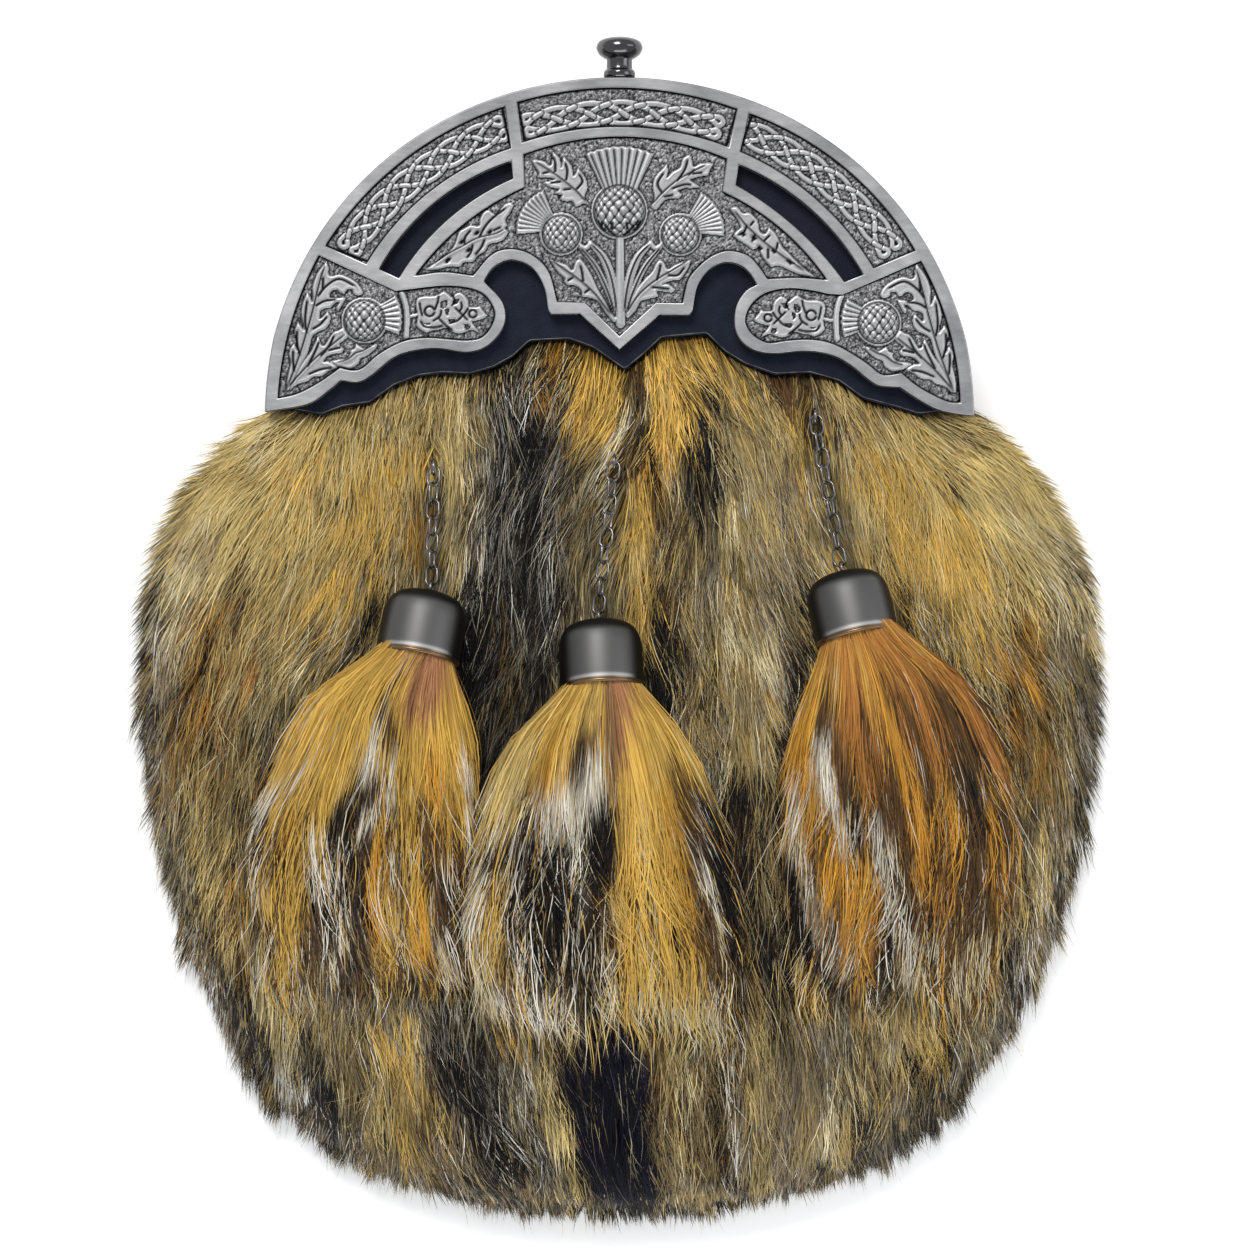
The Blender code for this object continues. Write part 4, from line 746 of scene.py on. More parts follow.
def side_strands(count, seed):
    """Hair on the wall between the front and the floor."""
    g = np.random.default_rng(seed)
    a = g.uniform(-math.pi, math.pi, count * 2)
    r = outline_radius(a) - 0.9
    x, y = HUB[0] + r * np.cos(a), HUB[1] + r * np.sin(a)
    keep = y < 50
    a, x, y = a[keep][:count], x[keep][:count], y[keep][:count]
    n = len(x)
    f = flow(x, y)
    out = np.stack((np.cos(a), np.sin(a)), 1)
    length = g.uniform(7, 13, n)
    room = np.clip(tip_radius(a) - outline_radius(a) - 1.5 + g.normal(0, 1.2, n), 1.0, 9)
    along = f - out * np.clip((f * out).sum(1), 0, 1)[:, None]
    t = np.linspace(0, 1, 3)
    path = (np.stack((x, y), 1)[:, None, :] + (along * length[:, None])[:, None, :] * t[None, :, None]
            + (out * room[:, None])[:, None, :] * (t ** 0.8)[None, :, None])
    z0 = g.uniform(1.2, 8.0, n)
    z = np.maximum(z0[:, None] - (z0 * g.uniform(0, 0.6, n))[:, None] * t[None], 0.7)
    pts = np.concatenate((path, z[..., None]), 2)
    weight = capsule_weight(x, y, COAT_PLAN)
    low = np.clip((20 - y) / 50, 0.1, 1)
    for kind, part in (("sand", 1.6), ("tan", 0.8), ("charcoal", 2.2), ("grey", 1.6), ("tipped", 2.0), ("black", 1.0), ("brown", 0.6)):
        weight[:, TYPES.index(kind)] += part * (low if kind not in ("sand", "tan") else 1.0)
    lock = np.array([LOCK_TREE.find((p, q, 0))[1] for p, q in zip(x, y)])
    kind = pick_types(weight, lock, 0.5, 0.55, seed + 100)
    shade = np.clip(np.round(1.2 + g.normal(0, 0.8, n)), 0, 3).astype(int)
    width = g.uniform(0.18, 0.34, n)[:, None] * np.array((0.9, 1.0, 0.0))[None]
    return pts, width, kind * len(SHADES) + shade, g.normal(0, 0.5, n)


_g = np.random.default_rng(7)
layers = []
rx, ry = coat_roots(69000, _g)
layers.append(("fur_wool", [fur_layer(rx, ry, 3, 0.88, (0.22, 0.38), (0.3, 1.5), 1.15, 31, 0.7, (1.05, 1.75), False), side_strands(6500, 33)]))
rx, ry = coat_roots(41000, _g)
ex, ey = coat_roots(8000, _g, 9.0)
gx, gy = coat_roots(4600, _g)
wx, wy = coat_roots(2600, _g, 7.0)
layers.append(("fur_hair", [fur_layer(np.concatenate((rx, ex)), np.concatenate((ry, ey)), 4, 0.98, (0.12, 0.23), (1.2, 3.4), 1.4, 32, 1.0, (1.9, 1.95))]))
layers.append(("fur_guard", [fur_layer(gx, gy, 5, 1.35, (0.09, 0.16), (2.4, 4.8), 2.4, 34, 1.7, (1.9, 2.0)),
                             fur_layer(wx, wy, 5, 1.30, (0.07, 0.12), (0.4, 3.0), 2.4, 36, 1.7, (1.9, 2.0), True, 2.4)]))
for name, parts in layers:
    for end, side in (("_left", -1), ("_right", 1)):
        pts, width, column, roll = [np.concatenate([p[k] for p in parts]) for k in range(4)]
        mask = pts[:, 0, 0] * side > 0
        piece(name + end, strand_mesh(name, pts[mask], width[mask], column[mask], roll[mask]), FUR_LOOK)
coat = piece("fur_undercoat", undercoat(), FUR_LOOK)
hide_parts("fur_front", "fur_gusset")

# ================================================================ tassels
def fit_columns(colour, count, seed):
    """Groups strands of nearly the same colouring: (palette, column of each strand)."""
    g = np.random.default_rng(seed)
    flat = colour.reshape(len(colour), -1)
    shown = np.sqrt(flat)
    centre = shown[g.choice(len(shown), count, replace=False)]
    for _ in range(7):
        near = np.argmin((shown ** 2).sum(1)[:, None] - 2 * shown @ centre.T + (centre ** 2).sum(1)[None], 1)
        for k in range(count):
            mine = near == k
            if mine.any():
                centre[k] = shown[mine].mean(0)
    return (centre ** 2).reshape(count, *colour.shape[1:]), near


TASSELS = {
    # lip x, lip y, lean, links, staple x; then rows of the brush: y, left x, right x, top z
    "left": ((-46.6, -7.9, 10.0, 7, -43.1),
             ((-17.0, -69.0, -36.2, 48.4), (-28.5, -76.0, -35.0, 48.0), (-41.0, -81.4, -35.0, 46.8),
              (-54.0, -84.0, -36.0, 45.0), (-66.0, -82.0, -38.5, 42.6), (-77.0, -76.0, -42.0, 37.6),
              (-86.0, -68.0, -47.5, 32.6))),
    "centre": ((-3.9, -14.7, -3.0, 9, -1.2),
               ((-24.0, -22.5, 12.2, 48.6), (-37.8, -28.6, 18.4, 48.2), (-51.6, -32.2, 23.0, 47.0),
                (-67.8, -34.2, 25.8, 44.8), (-81.6, -31.8, 27.0, 41.6), (-90.0, -26.0, 22.8, 36.6),
                (-97.0, -15.0, 15.0, 32.4))),
    "right": ((54.8, -3.4, -12.0, 9, 45.4),
              ((-13.5, 43.2, 76.5, 48.4), (-26.2, 41.0, 84.6, 48.0), (-40.1, 39.8, 89.4, 46.8),
               (-54.0, 39.6, 90.4, 45.0), (-66.5, 42.0, 87.6, 42.4), (-78.0, 46.2, 82.5, 37.6),
               (-89.0, 53.5, 75.0, 32.8))),
}
CUP_PITCH, CUP_Z, BRUSH_LOW = 14.0, 41.2, 30.2
TASSEL_PLAN = {
    "left": (
        (390, 655, 330, 740, 44, "gold", 4), (440, 670, 452, 800, 15, "gold", 5), (412, 670, 413, 780, 11, "gold", 6),
        (300, 760, 270, 900, 16, "gold", 4), (428, 648, 426, 700, 16, "skin", 30), (426, 700, 425, 718, 8, "skin", 14), (386, 700, 396, 745, 8, "brown", 7),
        (372, 785, 342, 828, 9, "black", 14), (368, 835, 356, 868, 6, "black", 8), (376, 732, 362, 792, 6, "white", 9),
        (382, 796, 348, 862, 6, "white", 6), (330, 746, 246, 824, 8, "white", 8), (318, 705, 286, 745, 7, "white", 5),
        (322, 838, 303, 892, 7, "white", 7), (396, 770, 392, 800, 4, "white", 4), (290, 850, 276, 945, 24, "brown", 3),
        (345, 860, 325, 950, 16, "charcoal", 5), (330, 880, 318, 960, 18, "white", 3.5), (378, 850, 376, 965, 11, "orange", 6),
        (402, 820, 405, 930, 13, "brown", 2.5), (412, 790, 414, 880, 11, "gold", 5), (412, 880, 408, 930, 6, "gold", 5), (430, 900, 415, 962, 7, "orange", 8),
        (442, 830, 440, 930, 11, "brown", 4), (258, 850, 250, 900, 13, "white", 4), (278, 900, 286, 985, 12, "gold", 5),
        (350, 950, 330, 1000, 24, "grey", 4), (340, 940, 310, 1000, 20, "white", 3), (385, 980, 420, 955, 14, "brown", 3),
        (392, 985, 425, 955, 12, "white", 3), (466, 760, 472, 860, 6, "white", 4), (448, 880, 452, 950, 9, "charcoal", 4),
        (450, 870, 448, 950, 9, "white", 3), (345, 690, 330, 735, 5, "orange", 4), (440, 740, 440, 850, 16, "orange", 3),
        (405, 860, 400, 940, 20, "white", 2), (300, 810, 280, 860, 10, "rust", 2.4), (270, 830, 255, 870, 10, "brown", 3),
        (340, 760, 310, 850, 9, "gold", 7), (300, 850, 290, 930, 10, "gold", 6), (375, 760, 372, 782, 5, "white", 8),
        (420, 800, 428, 900, 6, "brown", 3), (456, 800, 460, 880, 6, "brown", 5), (352, 800, 340, 850, 5, "cream", 6),
        (395, 900, 385, 980, 7, "gold", 6), (320, 940, 300, 985, 8, "brown", 6), (360, 930, 350, 990, 8, "charcoal", 6),
        (440, 930, 425, 985, 7, "brown", 6), (388, 690, 382, 712, 6, "brown", 5),
    ),
    "centre": (
        (590, 690, 545, 760, 28, "gold", 4), (520, 730, 512, 800, 15, "tan", 5), (552, 750, 548, 800, 8, "orange", 5),
        (604, 750, 609, 785, 4, "orange", 10), (618, 685, 620, 760, 11, "skin", 20), (617, 760, 615, 800, 4, "skin", 7),
        (586, 738, 580, 768, 10, "brown", 8), (598, 768, 592, 800, 12, "white", 16), (560, 800, 575, 832, 13, "white", 14),
        (545, 800, 552, 842, 8, "white", 7), (603, 815, 600, 880, 11, "black", 12), (578, 838, 560, 850, 8, "black", 9),
        (515, 830, 540, 1000, 28, "white", 4.2), (525, 850, 545, 1000, 26, "black", 3.2), (520, 860, 540, 980, 24, "grey", 2),
        (575, 860, 582, 960, 14, "white", 6), (562, 880, 592, 1000, 16, "black", 5), (532, 885, 536, 935, 6, "black", 9),
        (542, 900, 545, 930, 5, "rust", 6), (596, 900, 600, 980, 9, "brown", 6), (502, 890, 486, 970, 11, "gold", 7),
        (480, 960, 486, 1012, 9, "cream", 6), (515, 960, 520, 1000, 9, "gold", 4), (634, 740, 640, 900, 17, "gold", 14),
        (646, 715, 652, 760, 13, "gold", 7), (640, 900, 640, 1040, 18, "gold", 12), (664, 860, 694, 985, 12, "gold", 6),
        (668, 800, 704, 965, 8, "orange", 7), (682, 780, 702, 865, 9, "brown", 7), (620, 870, 632, 925, 6, "orange", 9),
        (612, 820, 616, 860, 5, "brown", 7), (694, 850, 726, 945, 7, "white", 5), (680, 870, 702, 955, 6, "brown", 6),
        (515, 750, 505, 830, 15, "tan", 8), (528, 790, 518, 835, 9, "brown", 5), (560, 760, 556, 790, 10, "orange", 5),
        (700, 900, 720, 980, 8, "brown", 6), (660, 940, 680, 1010, 8, "gold", 8), (648, 760, 648, 1000, 10, "tan", 5),
        (716, 850, 742, 965, 8, "black", 9), (702, 790, 716, 842, 6, "black", 6), (700, 800, 715, 850, 6, "white", 4),
        (650, 700, 688, 775, 12, "gold", 5), (670, 740, 690, 790, 8, "brown", 3), (600, 1010, 700, 1040, 22, "cream", 5),
        (600, 1000, 690, 1030, 22, "tan", 4), (550, 1010, 572, 1036, 14, "cream", 3), (500, 1000, 545, 1022, 14, "white", 3), (500, 990, 590, 1020, 16, "grey", 4),
        (520, 850, 560, 985, 26, "black", 3), (570, 990, 600, 1020, 10, "charcoal", 4), (515, 880, 580, 960, 30, "brown", 2),
        (600, 960, 606, 1005, 8, "white", 6), (692, 990, 702, 1030, 10, "gold", 4), (480, 880, 470, 940, 8, "white", 4),
    ),
    "right": (
        (850, 650, 875, 760, 44, "auburn", 4), (858, 650, 882, 745, 7, "gold", 5), (838, 655, 802, 730, 15, "gold", 4),
        (801, 730, 802, 785, 8, "orange", 8), (898, 660, 950, 750, 12, "auburn", 5), (882, 700, 908, 795, 9, "orange", 7),
        (882, 680, 900, 722, 7, "brown", 4), (826, 690, 823, 738, 7, "brown", 10), (838, 745, 848, 800, 8, "brown", 8),
        (880, 768, 892, 822, 12, "brown", 8), (823, 735, 817, 772, 8, "white", 14), (825, 780, 843, 850, 8, "white", 10),
        (850, 808, 856, 842, 5, "white", 8), (876, 828, 886, 870, 7, "white", 10), (886, 860, 901, 935, 12, "white", 8),
        (904, 930, 912, 982, 10, "white", 9), (878, 920, 884, 1002, 12, "white", 5), (880, 930, 888, 1010, 12, "charcoal", 4),
        (855, 865, 870, 982, 8, "orange", 16), (880, 890, 876, 950, 6, "rust", 8), (830, 830, 831, 900, 10, "orange", 6),
        (810, 775, 815, 850, 10, "orange", 6), (812, 830, 815, 870, 9, "brown", 5), (906, 780, 932, 892, 10, "orange", 10),
        (940, 800, 957, 905, 9, "orange", 8), (926, 790, 947, 900, 6, "brown", 9), (960, 760, 988, 855, 7, "charcoal", 8),
        (930, 680, 988, 795, 5, "brown", 8), (972, 860, 970, 935, 16, "brown", 6), (914, 895, 921, 940, 6, "brown", 7),
        (945, 665, 1000, 780, 8, "auburn", 6), (958, 945, 950, 1000, 24, "brown", 3), (960, 950, 950, 1010, 24, "cream", 3),
        (1000, 820, 1000, 920, 12, "brown", 4), (995, 800, 1000, 900, 10, "orange", 3), (794, 800, 802, 862, 8, "white", 6),
        (790, 870, 800, 925, 7, "black", 7), (806, 880, 832, 965, 12, "white", 6), (808, 880, 835, 965, 12, "grey", 4),
        (800, 940, 852, 1012, 9, "black", 10), (850, 960, 890, 1042, 12, "white", 4), (860, 965, 895, 1040, 12, "charcoal", 4),
        (905, 700, 935, 780, 6, "auburn", 5), (950, 730, 985, 800, 4, "white", 4), (912, 740, 930, 790, 3, "white", 4),
        (930, 870, 935, 930, 8, "auburn", 5),
        (880, 720, 912, 860, 5, "brown", 9), (905, 690, 958, 880, 6, "brown", 9), (925, 690, 985, 860, 6, "brown", 9),
        (860, 690, 868, 760, 4, "brown", 5), (950, 690, 1000, 800, 5, "charcoal", 6), (900, 860, 900, 960, 8, "brown", 8),
        (935, 860, 930, 960, 8, "black", 5), (965, 880, 955, 960, 8, "charcoal", 5), (845, 790, 862, 860, 5, "black", 7),
        (840, 900, 846, 960, 5, "rust", 6), (812, 690, 806, 740, 5, "orange", 5),
    ),
}


def cup_matrix(x, y, lean):
    a, p = math.radians(lean), math.radians(CUP_PITCH)
    axis = Vector((math.sin(a) * math.cos(p), math.cos(a) * math.cos(p), -math.sin(p)))
    across = axis.cross(Vector((0, 0, 1))).normalized()
    m = Matrix((across, across.cross(axis), axis)).transposed().to_4x4()
    m.translation = Vector((x, y, CUP_Z))
    return m


def brush_table(name):
    """Even steps down a tassel: share of its length, middle x, half width, y, top z."""
    (x, y, lean, _, _), rows = TASSELS[name]
    rows = np.array(((y - 0.4, x - 8.7, x + 8.7, CUP_Z + 8.4),) + rows)
    u = (rows[0, 0] - rows[:, 0]) / (rows[0, 0] - rows[-1, 0])
    grid, lo = smooth_table(u, rows[:, 1], 200)
    _, hi = smooth_table(u, rows[:, 2], 200)
    _, top = smooth_table(u, rows[:, 3], 200)
    return grid, (lo + hi) / 2, (hi - lo) / 2, rows[0, 0] + (rows[-1, 0] - rows[0, 0]) * grid, top, math.radians(lean)


def brush_point(table, u, phi, layer):
    """A point of the brush: u down its length, phi round it (0 right, 90 up), layer 1 is its skin."""
    grid, mid, half, ys, top, lean = table
    inside = np.clip(u, 0, 1)
    over = np.clip(u - 1, 0, None)
    m, h = np.interp(inside, grid, mid), np.interp(inside, grid, half)
    y, z = np.interp(inside, grid, ys), np.interp(inside, grid, top)
    length = ys[0] - ys[-1]
    y = y - over * length - np.clip(u, None, 0) * length
    h = h + np.clip(inside - 0.6, 0, None) * 2.1 * (np.interp(0.6, grid, half) - h)
    h = h * (1 - over * 1.2)
    low = BRUSH_LOW + (CUP_Z - 8.4 - BRUSH_LOW) * np.clip(1 - u / 0.12, 0, 1)
    zc = low + (z - low) * (0.42 + 0.08 * np.clip(1 - u / 0.15, 0, 1))
    c, s = np.cos(phi), np.sin(phi)
    c = np.copysign(np.abs(c) ** 0.85, c)
    rise = np.where(s > 0, z - zc, zc - low)
    sweep = -np.tan(lean) * h * c * np.clip(1 - u / 0.35, 0, 1)
    mouth = math.tan(math.radians(CUP_PITCH)) * 9.4 * s * np.clip(1 - u / 0.3, 0, 1)
    return m + h * c * layer, y + sweep + mouth, zc + rise * np.copysign(np.abs(s) ** 0.8, s) * layer


def tassel_strands(name, count, seed):
    g = np.random.default_rng(seed)
    table = brush_table(name)
    steps = 5
    t = np.linspace(0, 1, steps)
    phi = g.uniform(math.radians(-50), math.radians(230), count)
    visible = (phi > -0.1) & (phi < math.pi + 0.1)
    top_share = g.random(count) < 0.85
    phi = np.where(top_share & ~visible, g.uniform(0.05, math.pi - 0.05, count), phi)
    first = g.random(count) < 0.30
    u0 = np.where(first, g.uniform(-0.03, 0.02, count), g.uniform(0, 0.86, count))
    reach = np.where(first, g.uniform(0.24, 0.46, count), g.uniform(0.14, 0.31, count))
    u1 = np.minimum(u0 + reach, g.normal(1.0, 0.06, count))
    locks_n = 54
    lock_phi = np.sort(g.uniform(-0.9, math.pi + 0.9, locks_n))
    lock = np.abs(phi[:, None] - lock_phi[None]).argmin(1)
    band = np.clip((u1 * 8).astype(int), 0, 8)
    lock_id = lock * 9 + band
    total = locks_n * 9
    lock_u = g.normal(0, 0.045, total) + (np.tile(np.arange(9), locks_n) + 0.6) / 8
    u1 = np.maximum(u1 * 0.55 + lock_u[lock_id] * 0.45, u0 + 0.12)
    centre = (lock_phi[lock] + g.normal(0, 0.15, total)[lock_id])
    gather = g.uniform(0.25, 0.95, count) * np.clip((u1 - 0.25) / 0.3, 0.12, 1)
    u = u0[:, None] + (u1 - u0)[:, None] * t[None]
    ph = phi[:, None] + (centre - phi)[:, None] * gather[:, None] * (t ** 1.5)[None]
    layer0 = g.uniform(0.84, 1.0, count)
    out = g.uniform(0.0, 0.08, count) + np.abs(g.normal(0, 0.065, total))[lock_id] * np.clip(u1, 0, 1)
    guard = (g.random(count) < 0.09) & ~first
    out = np.where(guard, out + 0.07, out)
    layer = layer0[:, None] + out[:, None] * (t ** 1.1)[None]
    layer = np.where(u < 0.06, np.minimum(layer, 0.96), layer)
    x, y, z = brush_point(table, u, ph, layer)
    # hairs lean out of the brush and across each other
    long_mm = (u1 - u0) * 78
    free = np.clip(u1 * 1.6 - 0.25, 0.1, 1)
    lean_out = np.cos(phi) * (0.04 - 0.10 * np.clip(u0, 0, 1)) + g.normal(0, 0.038, total)[lock_id] + g.normal(0, 0.048, count)
    lean_out = np.where(guard, lean_out + g.normal(0, 0.22, count), lean_out)
    bend = g.normal(0, 0.05, total)[lock_id] + g.normal(0, 0.05, count)
    x = x + (long_mm * free)[:, None] * (lean_out[:, None] * (t ** 1.2)[None] + bend[:, None] * np.sin(t * math.pi)[None])
    curl = g.normal(0, 0.7, (count, 2))
    x = x + curl[:, :1] * (t ** 2)[None]
    z = np.maximum(z + curl[:, 1:] * 0.5 * (t ** 2)[None], pelt_height(x, y) + 0.6)
    pts = np.stack((x, y, z), 2)
    wide = np.where(guard, g.uniform(0.08, 0.14, count), g.uniform(0.15, 0.29, count))
    width = wide[:, None] * np.array((0.8, 1.0, 1.0, 0.75, 0.0))[None]
    # colour by place, with one hair's own luck along its whole length
    own = -np.log(-np.log(g.uniform(1e-6, 1 - 1e-6, (count, len(TYPES)))))
    locks = -np.log(-np.log(g.uniform(1e-6, 1 - 1e-6, (total, len(TYPES)))))[lock_id]
    colour = np.zeros((count, steps, 3))
    shade = np.clip(g.normal(1.0, 0.14, count) * np.exp(g.normal(0.0, 0.16, total))[lock_id], 0.5, 1.4)
    # painted shade: strands lying deeper in the brush are darkened
    shade *= 0.72 + 0.28 * np.clip((layer0 - 0.84) / 0.1, 0, 1)
    mids = np.array([[linear(np.array(HAIR[k][1])), linear(np.array(HAIR[k][2]))] for k in TYPES])
    tips = np.array([linear(np.array(HAIR[k][3])) for k in TYPES])
    for k in range(steps):
        w = capsule_weight(x[:, k], y[:, k], TASSEL_PLAN[name], 45.0)
        w[:, TYPES.index("white")] *= 0.8 if name == "centre" else 0.5
        w[:, TYPES.index("black")] *= 1.6
        low = np.clip((u[:, k] - 0.25) / 0.75, 0, 1.2) ** 1.8
        for kind, share, more in (("gold", 0.4, 0.2), ("brown", 0.35, 0.6), ("white", 0.06, 0.3), ("orange", 0.25, 0.2),
                                  ("charcoal", 0.12, 0.6), ("sand", 0.0, 0.35), ("olive", 0.0, 0.2), ("tan", 0.1, 0.4)):
            w[:, TYPES.index(kind)] += share + more * low
        stand = guard[:, None] * np.clip(u[:, k:k + 1] * 2, 0, 1)
        for kind, share in (("white", 6.0), ("cream", 3.0), ("black", 3.0), ("brown", 3.0)):
            w[:, TYPES.index(kind):TYPES.index(kind) + 1] += stand * share
        loose = np.clip(0.22 + u[:, k] * 0.7, 0.22, 0.6)[:, None]
        both = np.clip(np.minimum(w[:, TYPES.index("white")], w[:, TYPES.index("black")]) / 2.5, 0, 1)[:, None]
        single = loose * (1 - both) + 0.95 * both
        pick = np.argmax(np.log(w + 1e-4) + single * own + (loose * 0.7 * (1 - 0.5 * both)) * locks, 1)
        base = mids[pick, 0] * (1 - t[k]) + mids[pick, 1] * t[k]
        colour[:, k] = (base * 0.75 + tips[pick] * 0.25) if t[k] > 0.95 else base
    colour *= shade[:, None, None]
    return pts, width, colour, g.normal(0, 0.42, count)


def tassel_core(name):
    """The dense inside of the brush."""
    table = brush_table(name)
    us, phis = np.linspace(-0.03, 0.80, 34), np.linspace(0, 2 * math.pi, 33)[:-1]
    U, P = np.meshgrid(us, phis, indexing="ij")
    thick = 0.84 * np.clip(1.16 - U.ravel() * 0.3, 0.7, 1.08) * np.sqrt(np.clip((0.83 - U.ravel()) / 0.34, 0, 1))
    x, y, z = brush_point(table, U.ravel(), P.ravel(), thick)
    n, m = len(us), len(phis)
    faces = [(i * m + j, i * m + (j + 1) % m, (i + 1) * m + (j + 1) % m, (i + 1) * m + j)
             for i in range(n - 1) for j in range(m)]
    faces += [tuple(range(m))[::-1], tuple((n - 1) * m + j for j in range(m))]
    w = capsule_weight(x, y, TASSEL_PLAN[name], 45.0)
    w[:, TYPES.index("brown")] += 0.5
    w /= w.sum(1)[:, None]
    # painted shade: the core is coloured as the hair darkened, and darker still towards the brush's lower end
    deep = np.array([linear(np.array(HAIR[k][1]) * 0.74) for k in TYPES])
    lower_core_shade = np.clip((0.86 - U.ravel()) / 0.42, 0.30, 1)[:, None]
    return surface_mesh("tassel_core", np.stack((x, y, z), 1), faces, (w @ deep) * lower_core_shade)


TASSEL_LOOK = hair_material("tassel_hair", 0.45)
for number, name in enumerate(TASSELS):
    pts, width, colour, roll = tassel_strands(name, 7600, 40 + number)
    palette, column = fit_columns(colour, 220, 50 + number)
    hair = piece("tassel_hair_" + name, strand_mesh("tassel_hair", pts, width, column, roll, palette), TASSEL_LOOK)
    core = piece("tassel_core_" + name, tassel_core(name), TASSEL_LOOK)
    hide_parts("brush_" + name)


# ================================================================ cups, chains, staples, knob
def turned(name, profile, steps=72, matrix=None):
    """A profile (radius, height) in mm, turned about its own Z."""
    pts = np.array(profile, float)
    a = np.linspace(0, 2 * math.pi, steps + 1)[:-1]
    bm = bmesh.new()
    rows = []
    for r, h in pts:
        if r < 1e-4:
            rows.append([bm.verts.new((0, 0, h * MM))])
        else:
            rows.append([bm.verts.new((r * math.cos(t) * MM, r * math.sin(t) * MM, h * MM)) for t in a])
    for p, q in zip(rows, rows[1:]):
        if len(p) == 1 and len(q) == 1:
            continue
        for i in range(steps):
            j = (i + 1) % steps
            if len(p) == 1:
                bm.faces.new((p[0], q[j], q[i]))
            elif len(q) == 1:
                bm.faces.new((p[i], p[j], q[0]))
            else:
                bm.faces.new((p[i], p[j], q[j], q[i]))
    bmesh.ops.recalc_face_normals(bm, faces=bm.faces)
    mesh = bpy.data.meshes.new(name)
    bm.to_mesh(mesh)
    bm.free()
    mesh.shade_smooth()
    mesh.set_sharp_from_angle(angle=math.radians(50))
    if matrix is not None:
        m = matrix.copy()
        m.translation = m.translation * MM
        mesh.transform(m)
    return mesh


def smooth_profile(rows, per=6):
    """A rounder profile through a table's points."""
    pts = [Vector(r) for r in rows]
    ends = [pts[0] * 2 - pts[1]] + pts + [pts[-1] * 2 - pts[-2]]
    out = []
    for i in range(1, len(ends) - 2):
        a, b, c, d = ends[i - 1:i + 3]
        for k in range(per):
            t = k / per
            p = 0.5 * (2 * b + (c - a) * t + (2 * a - 5 * b + 4 * c - d) * t * t + (3 * b - a - 3 * c + d) * t ** 3)
            out.append((max(p.x, 0), p.y))
    return out + [(max(pts[-1].x, 0), pts[-1].y)]


def tube(name_pts, radius, cyclic=True, sides=8):
    """Vertices and faces of a wire through points (mm)."""
    pts = np.array(name_pts, float)
    n = len(pts)
    if cyclic:
        tan = np.roll(pts, -1, 0) - np.roll(pts, 1, 0)
    else:
        tan = np.gradient(pts, axis=0)
    tan /= np.linalg.norm(tan, axis=1)[:, None]
    normal = np.cross(tan[0], (0.3, 0.2, 1.0))
    normal /= np.linalg.norm(normal)
    frames = []
    for k in range(n):
        normal = normal - tan[k] * (normal @ tan[k])
        normal /= np.linalg.norm(normal)
        frames.append((normal, np.cross(tan[k], normal)))
    a = np.linspace(0, 2 * math.pi, sides + 1)[:-1]
    verts = np.concatenate([pts[k] + radius * (np.cos(a)[:, None] * f[0] + np.sin(a)[:, None] * f[1])
                            for k, f in enumerate(frames)])
    faces = []
    for k in range(n if cyclic else n - 1):
        j = (k + 1) % n
        shift = 0
        if cyclic and j == 0:        # the frame turns a little on the way round
            shift = int(np.argmin([np.linalg.norm(verts[k * sides] - verts[s]) for s in range(sides)]))
        for i in range(sides):
            faces.append((k * sides + i, k * sides + (i + 1) % sides,
                          j * sides + (i + 1 + shift) % sides, j * sides + (i + shift) % sides))
    if not cyclic:
        faces += [tuple(range(sides))[::-1], tuple((n - 1) * sides + i for i in range(sides))]
    return verts, faces


def wires_mesh(name, parts):
    verts, faces, base = [], [], 0
    for v, f in parts:
        verts.append(v)
        faces += [tuple(i + base for i in face) for face in f]
        base += len(v)
    mesh = bpy.data.meshes.new(name)
    mesh.from_pydata([tuple(v) for v in np.concatenate(verts) * MM], [], faces)
    mesh.shade_smooth()
    return mesh


def gunmetal(name, dark=0.17, rough=0.25):
    mat, tree, shader = principled(name, (dark, dark, dark * 1.05), rough, 1.0)
    tex = node(tree, "ShaderNodeTexCoord")
    fine = node(tree, "ShaderNodeTexNoise", Scale=900.0, Detail=3.0)
    tree.links.new(tex.outputs["Object"], fine.inputs["Vector"])
    blot = node(tree, "ShaderNodeTexNoise", Scale=160.0, Detail=4.0)
    tree.links.new(tex.outputs["Object"], blot.inputs["Vector"])
    tree.links.new(ramp(tree, blot.outputs["Fac"], ((0.3, (dark * .8, dark * .79, dark * .8)),
                                                    (0.7, (dark * 1.15, dark * 1.15, dark * 1.2)))),
                   shader.inputs["Base Color"])
    bumped(tree, shader, fine.outputs["Fac"], 0.12, 0.0001)
    return mat


CUP_METAL, _cup_tree, _cup_shader = principled("cup_gunmetal", (0.12, 0.12, 0.12), 0.5, 1.0)
_tint = node(_cup_tree, "ShaderNodeVertexColor", layer_name="tint")
_cup_tree.links.new(_tint.outputs["Color"], _cup_shader.inputs["Base Color"])
KNOB_METAL = gunmetal("knob_gunmetal", 0.10, 0.16)
WIRE_METAL = gunmetal("chain_wire", 0.19, 0.22)
LIP_METAL, _tree, _shader = principled("cup_lip_bronze", (0.19, 0.125, 0.075), 0.33, 1.0)

CUP_PROFILE = ((9.55, 0.5), (9.65, 2.2), (9.7, 5.0), (9.65, 8.5), (9.45, 11.2), (8.7, 13.4), (7.1, 15.1), (4.2, 16.1), (0.0, 16.4))


def link_oval(length, width, turn, centre, along, steps=20):
    along = along.normalized()
    side = along.cross(Vector((0, 0, 1))).normalized()
    up = side.cross(along)
    t = math.radians(turn)
    side = side * math.cos(t) + up * math.sin(t)
    r = width / 2
    straight = length / 2 - r
    out = []
    for k in range(steps):
        a = 2 * math.pi * (k + 0.5) / steps
        c, s = math.cos(a), math.sin(a)
        out.append(centre + side * (c * r) + along * (s * r + (straight if s > 0 else -straight)))
    return out


